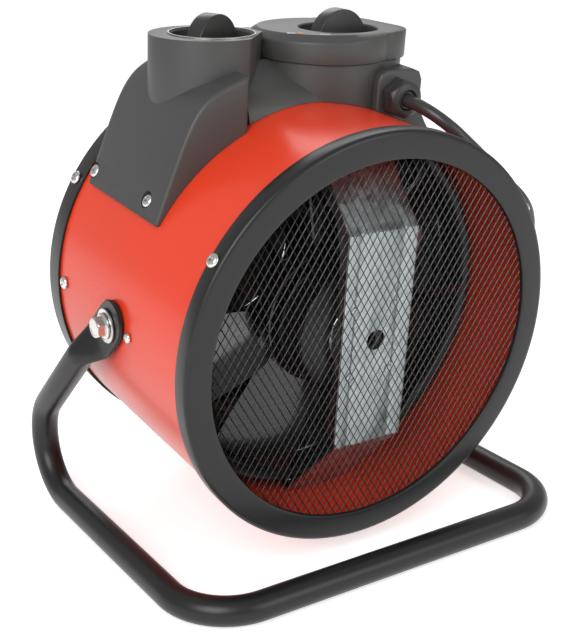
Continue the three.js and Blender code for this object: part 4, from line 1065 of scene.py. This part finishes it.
class HEATER_OT_housing(bpy.types.Operator):
    """Moulds the control housing: the skirt on the barrel, the left tower and the web beside the cap"""

    bl_idname = "heater.housing"
    bl_label = "Control Housing"

    def execute(self, context):
        foot_angle = math.radians(FOOT_ANGLE)
        foot = (FOOT_RADIUS * math.sin(foot_angle), FOOT_RADIUS * math.cos(foot_angle))
        under = (foot[0] * 0.89, foot[1] * 0.89)
        side = bezier(foot, (foot[0] - 27, foot[1] + 70), (CROWN[0] + 39.8, CROWN[1] - 11.4), CROWN, 20)
        left = [(-x, z) for x, z in (under, *side)]
        flank = bezier((RIGHT_WALL, 134), (RIGHT_WALL + 1, 118), (foot[0] - 18, foot[1] + 30), foot, 12)
        right = [(RIGHT_WALL - 8, 155.5), (RIGHT_WALL - 2.4, 153.2), (RIGHT_WALL, 148), *flank, under]
        mirrored = [(-x, z) for x, z in reversed(left)]
        skirt = self.along_drum(left + mirrored, 119, 173.5)
        pick_faces(lambda p: p.y > 173)
        for width, depth in ((0.7, 3.6), (1.7, 2.2), (2, 1.2)):
            inset(width)
            move(y=depth)
        # in front, the skirt shows beside the towers only: at the left, and at the right as the gland's seat
        fronts = []
        seat = [(44, 118), (44, 148), (46, 153.2), (51, 155.5), *right]
        for section, width in ((left + [(-55, 110)], 2.4), (seat, 1.8)):
            fronts.append(self.along_drum(section, HOUSING_FRONT, 125))
            pick_edges(lambda p: p.y < HOUSING_FRONT + 0.01)
            bevel(width, 4)

        centre, radius = LEFT_TOWER
        plan = arc(centre, radius, 20, 292, 72) + [(-18, 126), (2, 126), (2, 144.5)]
        left_block = tower_block(plan, 82)
        pick_edges(lambda p: p.z > 150 and p.x < centre[0] + 12)
        bevel(3.8, 4)
        right_block = tower_block(tower_plan(0), 82, CAP_SEAT)
        pick_edges(lambda p: abs(p.z - CAP_SEAT) < 0.01)
        bevel(0.6, 4)
        tidy_mesh()
        cap_space = tower_block(tower_plan(2.5), CAP_SEAT + 0.07, 220)  # clear of the tower's own top
        combine(left_block, "DIFFERENCE", cap_space, deck_cutter(LEFT_KNOB))
        # between the towers a slope comes forward and down to the barrel
        section = ((86, 110), (86, 138), (118, 160), (130, 160), (130, 110))
        slope = sheet_cut([(-50, y, z) for y, z in section], x=74)
        pick_edges(lambda p: p.y < 86.1 and p.z > 130)
        bevel(12, 6)
        combine(skirt, "UNION", *fronts, slope, right_block, left_block)
        barrel_space = turned([(0, -10), (136.8, -10), (136.8, 220), (0, 220)], 144)
        combine(skirt, "DIFFERENCE", barrel_space)
        for depth, angle in (HOUSING_FRONT_SCREW, HOUSING_REAR_SCREW):
            for side in (-1, 1):
                sink = cylinder((0, 0, FOOT_RADIUS + 20), 5.6, 40)
                place(sink, shift(y=depth) @ tilt(side * angle, "Y"))
                combine(skirt, "DIFFERENCE", sink)
        activate(skirt, "EDIT")
        tidy_mesh(0.01)
        finish(skirt, "housing", "housing_plastic", ["control_housing"], angle=28)
        return {"FINISHED"}

    def along_drum(self, section, start, end):
        """A block with that section (x, z), from one depth to another."""
        return sheet_cut([(x, start, z) for x, z in section], y=end - start)


class HEATER_OT_cap(bpy.types.Operator):
    """Moulds the separate cap of the right tower, with its marks"""

    bl_idname = "heater.cap"
    bl_label = "Cap"

    def execute(self, context):
        rounding = context.scene.heater_sizes.edge_rounding / MM
        plan = tower_plan(2.2)
        cap = tower_block(plan, CAP_SEAT + 0.3)
        pick_faces(lambda p: p.z > CAP_SEAT + 5)
        inset(6.5)

        def on_edge(p):
            return p.z > CAP_SEAT + 5 and min(math.hypot(p.x - x, p.y - y) for x, y in plan) < 0.3

        # the deck's edge slants down in front and at the left
        for limit in range(22, 58, 5):
            pick_corners(lambda p: on_edge(p) and p.x < limit)
            move(z=-0.55)
        pick_edges(on_edge)
        bevel(rounding * 0.5, 2)
        pick_edges(lambda p: p.z < CAP_SEAT + 0.31)
        bevel(0.7, 2)
        combine(cap, "DIFFERENCE", deck_cutter(RIGHT_KNOB))
        activate(cap, "EDIT")
        tidy_mesh(0.01)
        finish(cap, "cap", "housing_plastic", ["control_cap"], angle=28)
        # the marks lie on a slanting line that starts from the orange dot
        line = DECK @ shift(-2, 105.3 - TOWER_Y) @ tilt(-37.5, "Z")
        dot = turned([(0, -0.2), (2.1, -0.2), (2.1, 0.2), (1.9, 0.4), (0, 0.4)], 32)
        place(dot, tilt(90, "X"))
        finish(dot, "orange_dot", "housing_plastic", matrix=line, look="mark_orange")
        for name, offset, half in (("tick_left", -6.4, 2.6), ("tick_right", 15.5, 3.4)):
            corners = ((-half, -0.4), (half, -0.4), (half, 0.4), (-half, 0.4))
            tick = sheet_cut([(x, y, -0.2) for x, y in corners], z=0.5)
            finish(tick, name, "housing_plastic", matrix=line @ shift(offset), look="mark_white")
        return {"FINISHED"}


class HEATER_OT_knobs(bpy.types.Operator):
    """Moulds one knob and sets a copy in each recess, with the ring round the left one"""

    bl_idname = "heater.knobs"
    bl_label = "Knobs and Dial Ring"

    def execute(self, context):
        knob = turned([(0, 0), (23.2, 0), (24, 0.7), (24, 2.1), (23.3, 2.8), (22, 3), (0, 3.2)], 96)
        place(knob, tilt(90, "X"))
        grip = sheet_cut([(x, -6, z) for x, z in arc((0, 1.5), 18.6, 0, 180, 40)], y=12)
        pick_edges(lambda p: abs(abs(p.y) - 6) < 0.01)
        bevel(2.4, 4)
        tidy_mesh()
        combine(knob, "UNION", grip)
        for label, (x, y, turn), body in (
            ("thermostat", LEFT_KNOB, "thermostat_control"), ("selector", RIGHT_KNOB, "selector_control"),
        ):
            spot = on_deck(x, y, 0.3 - RECESS[1]) @ tilt(turn, "Z")
            finish(copied(knob, "knob"), f"{label}_grip", "knob_plastic", [f"{label}_knob"], spot, body)
        bpy.data.meshes.remove(knob.data)

        ring = turned([(27.3, -0.7), (27.6, -0.9), (28.2, -0.9), (28.5, -0.7), (28.5, 0.2), (27.3, 0.2)], 96)
        spot = on_deck(*LEFT_KNOB[:2]) @ tilt(-90, "X")
        finish(ring, "bright_ring", "zinc_steel", ["dial_ring"], spot)
        return {"FINISHED"}


# ---- Gland, bolts and screws -----------------------------------------------------------------

GLAND = (59.5, 138)
GLAND_FLATS = 23.5
BOLT_FLATS = 13


class HEATER_OT_gland(bpy.types.Operator):
    """Makes the cable gland's collar and dome nut"""

    bl_idname = "heater.gland"
    bl_label = "Cable Gland"

    def execute(self, context):
        spot = DRUM @ shift(GLAND[0], 0, GLAND[1])
        turn = tilt(math.degrees(math.atan2(*GLAND)) + 30, "Y")

        collar = self.nut(73.5, 78.7, 0.7, turn)
        bore = turned([(0, 60), (4.7, 60), (4.7, 90), (0, 90)], 32)
        combine(collar, "DIFFERENCE", bore)
        thread = turned([(4.7, 69), (6.2, 69), (6.2, 73), (8, 78), (8, 88), (4.7, 88)], 48)
        combine(collar, "UNION", thread)
        finish(collar, "gland_collar", "gland_nylon", ["gland_body"], spot)

        dome = self.nut(66, 73.2, 0.5, turn)
        shape = turned([
            (0, 66), (9.0, 66), (10.2, 66.4), (11.4, 67.2), (12.6, 68.4), (13.4, 69.8), (13.9, 71.2),
            (13.9, 74), (0, 74),
        ], 48)
        combine(dome, "INTERSECT", shape)
        mouth = turned([(0, 64), (7.6, 64), (7.2, 66.2), (6.6, 67), (6.4, 68), (6.4, 75), (0, 75)], 48)
        combine(dome, "DIFFERENCE", mouth)
        finish(dome, "gland_dome", "gland_nylon", ["gland_dome_nut"], spot)
        seal = turned([(4.5, 67.2), (5.6, 67.0), (6.3, 67.6), (6.3, 75), (4.5, 75)], 32)
        finish(seal, "gland_seal", "cord_rubber", matrix=spot)
        return {"FINISHED"}

    def nut(self, start, end, rounding, turn):
        piece = hexagon(GLAND_FLATS, start, end)
        pick_all()
        bevel(rounding, 2)
        place(piece, turn)
        return piece


class HEATER_OT_fasteners(bpy.types.Operator):
    """Makes the tilt bolts with their washers, and the cross-recessed screws"""

    bl_idname = "heater.fasteners"
    bl_label = "Bolts and Screws"

    def execute(self, context):
        self.add_bolts()
        self.add_screws()
        return {"FINISHED"}

    def add_bolts(self):
        washer = turned([
            (4.3, 140.7), (11.2, 140.7), (11.5, 141), (11.5, 141.9), (11.1, 142.2), (4.3, 142.2),
        ])
        flange = turned([
            (0, 126.8), (3.6, 126.8), (4, 127.2), (4, 142.5), (8.5, 142.5), (8.8, 142.9), (8.8, 143.6),
            (8.3, 144.1), (7.4, 144.5), (0, 144.7),
        ])
        head = hexagon(BOLT_FLATS, 144, 149.9)
        chamfer = turned([
            (0, 143), (7.7, 143), (7.7, 148.3), (6.9, 149.3), (6.1, 149.9), (5.4, 149.95), (4.9, 149.6),
            (0, 149.5),
        ])
        combine(head, "INTERSECT", chamfer)
        combine(head, "UNION", flange)
        for label, side in SIDES:
            spot = DRUM @ shift(y=PIVOT_DEPTH) @ tilt(-side * 90, "Z")
            finish(copied(head, "bolt"), f"bolt_{label}", "zinc_steel", [f"tilt_bolt_{label}"], spot)
            finish(copied(washer, "washer"), f"washer_{label}", "zinc_steel", [f"tilt_washer_{label}"], spot)
        for piece in (head, washer):
            bpy.data.meshes.remove(piece.data)

    def add_screws(self):
        screw = self.pan_head()
        for name, (depth, angle), seat, size in (
            ("rim_screw", (8, 58), 140, 1), ("outlet_screw", (196, 59.6), 138.3, 1),
            ("side_screw", (179, 89.3), BARREL, 1), ("stop_screw", (80.5, 90), BARREL, 0.76),
            ("housing_front_screw", HOUSING_FRONT_SCREW, FOOT_RADIUS, 1),
            ("housing_rear_screw", HOUSING_REAR_SCREW, FOOT_RADIUS, 1),
        ):
            for label, side in SIDES:
                slot_turn = tilt(depth * 7, "Z")  # each kind of screw was left at a turn of its own
                spot = DRUM @ shift(y=depth) @ tilt(side * angle, "Y") @ shift(z=seat + 0.3) @ slot_turn
                one = copied(screw, "screw")
                place(one, Matrix.Diagonal((size, size, 1, 1)))
                finish(one, f"{name}_head_{label}", "zinc_steel", [f"{name}_{label}"], spot)
        bpy.data.meshes.remove(screw.data)

    def pan_head(self):
        """A pan head with a cross recess, standing on its seat."""
        head = turned([
            (0, -6.6), (1.5, -6.6), (1.9, -6.2), (1.9, 0), (4.3, 0), (4.6, 0.4), (4.5, 1.1), (4.0, 1.8),
            (3.1, 2.3), (1.8, 2.55), (0, 2.6),
        ], 40)
        place(head, tilt(90, "X"))
        for turn in (0, 90):
            blade = sheet_cut([(-2.4, -0.5, 3), (2.4, -0.5, 3), (1.1, -0.5, 0.9), (-1.1, -0.5, 0.9)], y=1.0)
            place(blade, tilt(turn, "Z"))
            combine(head, "DIFFERENCE", blade)
        return head


# ---- CAD pieces that stay ---------------------------------------------------------------------

NODE_SLOTS = {
    "zinc_steel": [
        "motor_shaft", "front_bearing", "rear_bearing", "fan_nut", "tilt_nut_left", "tilt_nut_right",
        "bracket_screw_left", "bracket_screw_right",
    ],
    "galvanised_steel": ["motor_rotor", "heat_shield", "element_frame"],
    "element_steel": ["heating_element_outer", "heating_element_inner"],
    "brass": ["motor_stator", "thermostat_spindle", "selector_spindle"],
    "ceramic": ["thermal_cutout", "thermostat_body", "terminal_block"],
    "housing_plastic": ["selector_switch"],
    "gland_nylon": ["gland_locknut"],
}


class HEATER_OT_inner_pieces(bpy.types.Operator):
    """Gives the pieces that stay as they come their finishes"""

    bl_idname = "heater.inner_pieces"
    bl_label = "Inner Pieces"

    def execute(self, context):
        for slot, names in NODE_SLOTS.items():
            for name in names:
                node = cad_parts[name]
                node.data.materials.clear()
                node.data.materials.append(finish_of(slot))
        return {"FINISHED"}


# ---- Panel and start -------------------------------------------------------------------------

STEPS = [
    HEATER_OT_stage, HEATER_OT_cord, HEATER_OT_stand, HEATER_OT_drum, HEATER_OT_guards, HEATER_OT_bracket,
    HEATER_OT_motor, HEATER_OT_fan, HEATER_OT_housing, HEATER_OT_cap, HEATER_OT_knobs, HEATER_OT_gland,
    HEATER_OT_fasteners, HEATER_OT_inner_pieces,
]


class HEATER_PT_panel(bpy.types.Panel):
    """Lists the heater's sizes, colours and steps"""

    bl_idname = "HEATER_PT_panel"
    bl_label = "Forced Air Heater"
    bl_space_type = "VIEW_3D"
    bl_region_type = "UI"
    bl_category = "Heater"

    def draw(self, context):
        layout = self.layout
        for group in (context.scene.heater_sizes, context.scene.heater_colours):
            box = layout.box()
            for name in group.bl_rna.properties.keys():
                if name not in ("rna_type", "name"):
                    box.prop(group, name)
        for step in STEPS:
            layout.operator(step.bl_idname)


CLASSES = [HeaterSizes, HeaterColours, *STEPS, HEATER_PT_panel]


def register():
    for cls in CLASSES:
        bpy.utils.register_class(cls)
    bpy.types.Scene.heater_sizes = PointerProperty(type=HeaterSizes)
    bpy.types.Scene.heater_colours = PointerProperty(type=HeaterColours)


def unregister():
    del bpy.types.Scene.heater_colours
    del bpy.types.Scene.heater_sizes
    for cls in reversed(CLASSES):
        bpy.utils.unregister_class(cls)


def main():
    register()
    for step in STEPS:
        group, name = step.bl_idname.split(".")
        getattr(getattr(bpy.ops, group), name)()


if __name__ == "__main__":
    main()
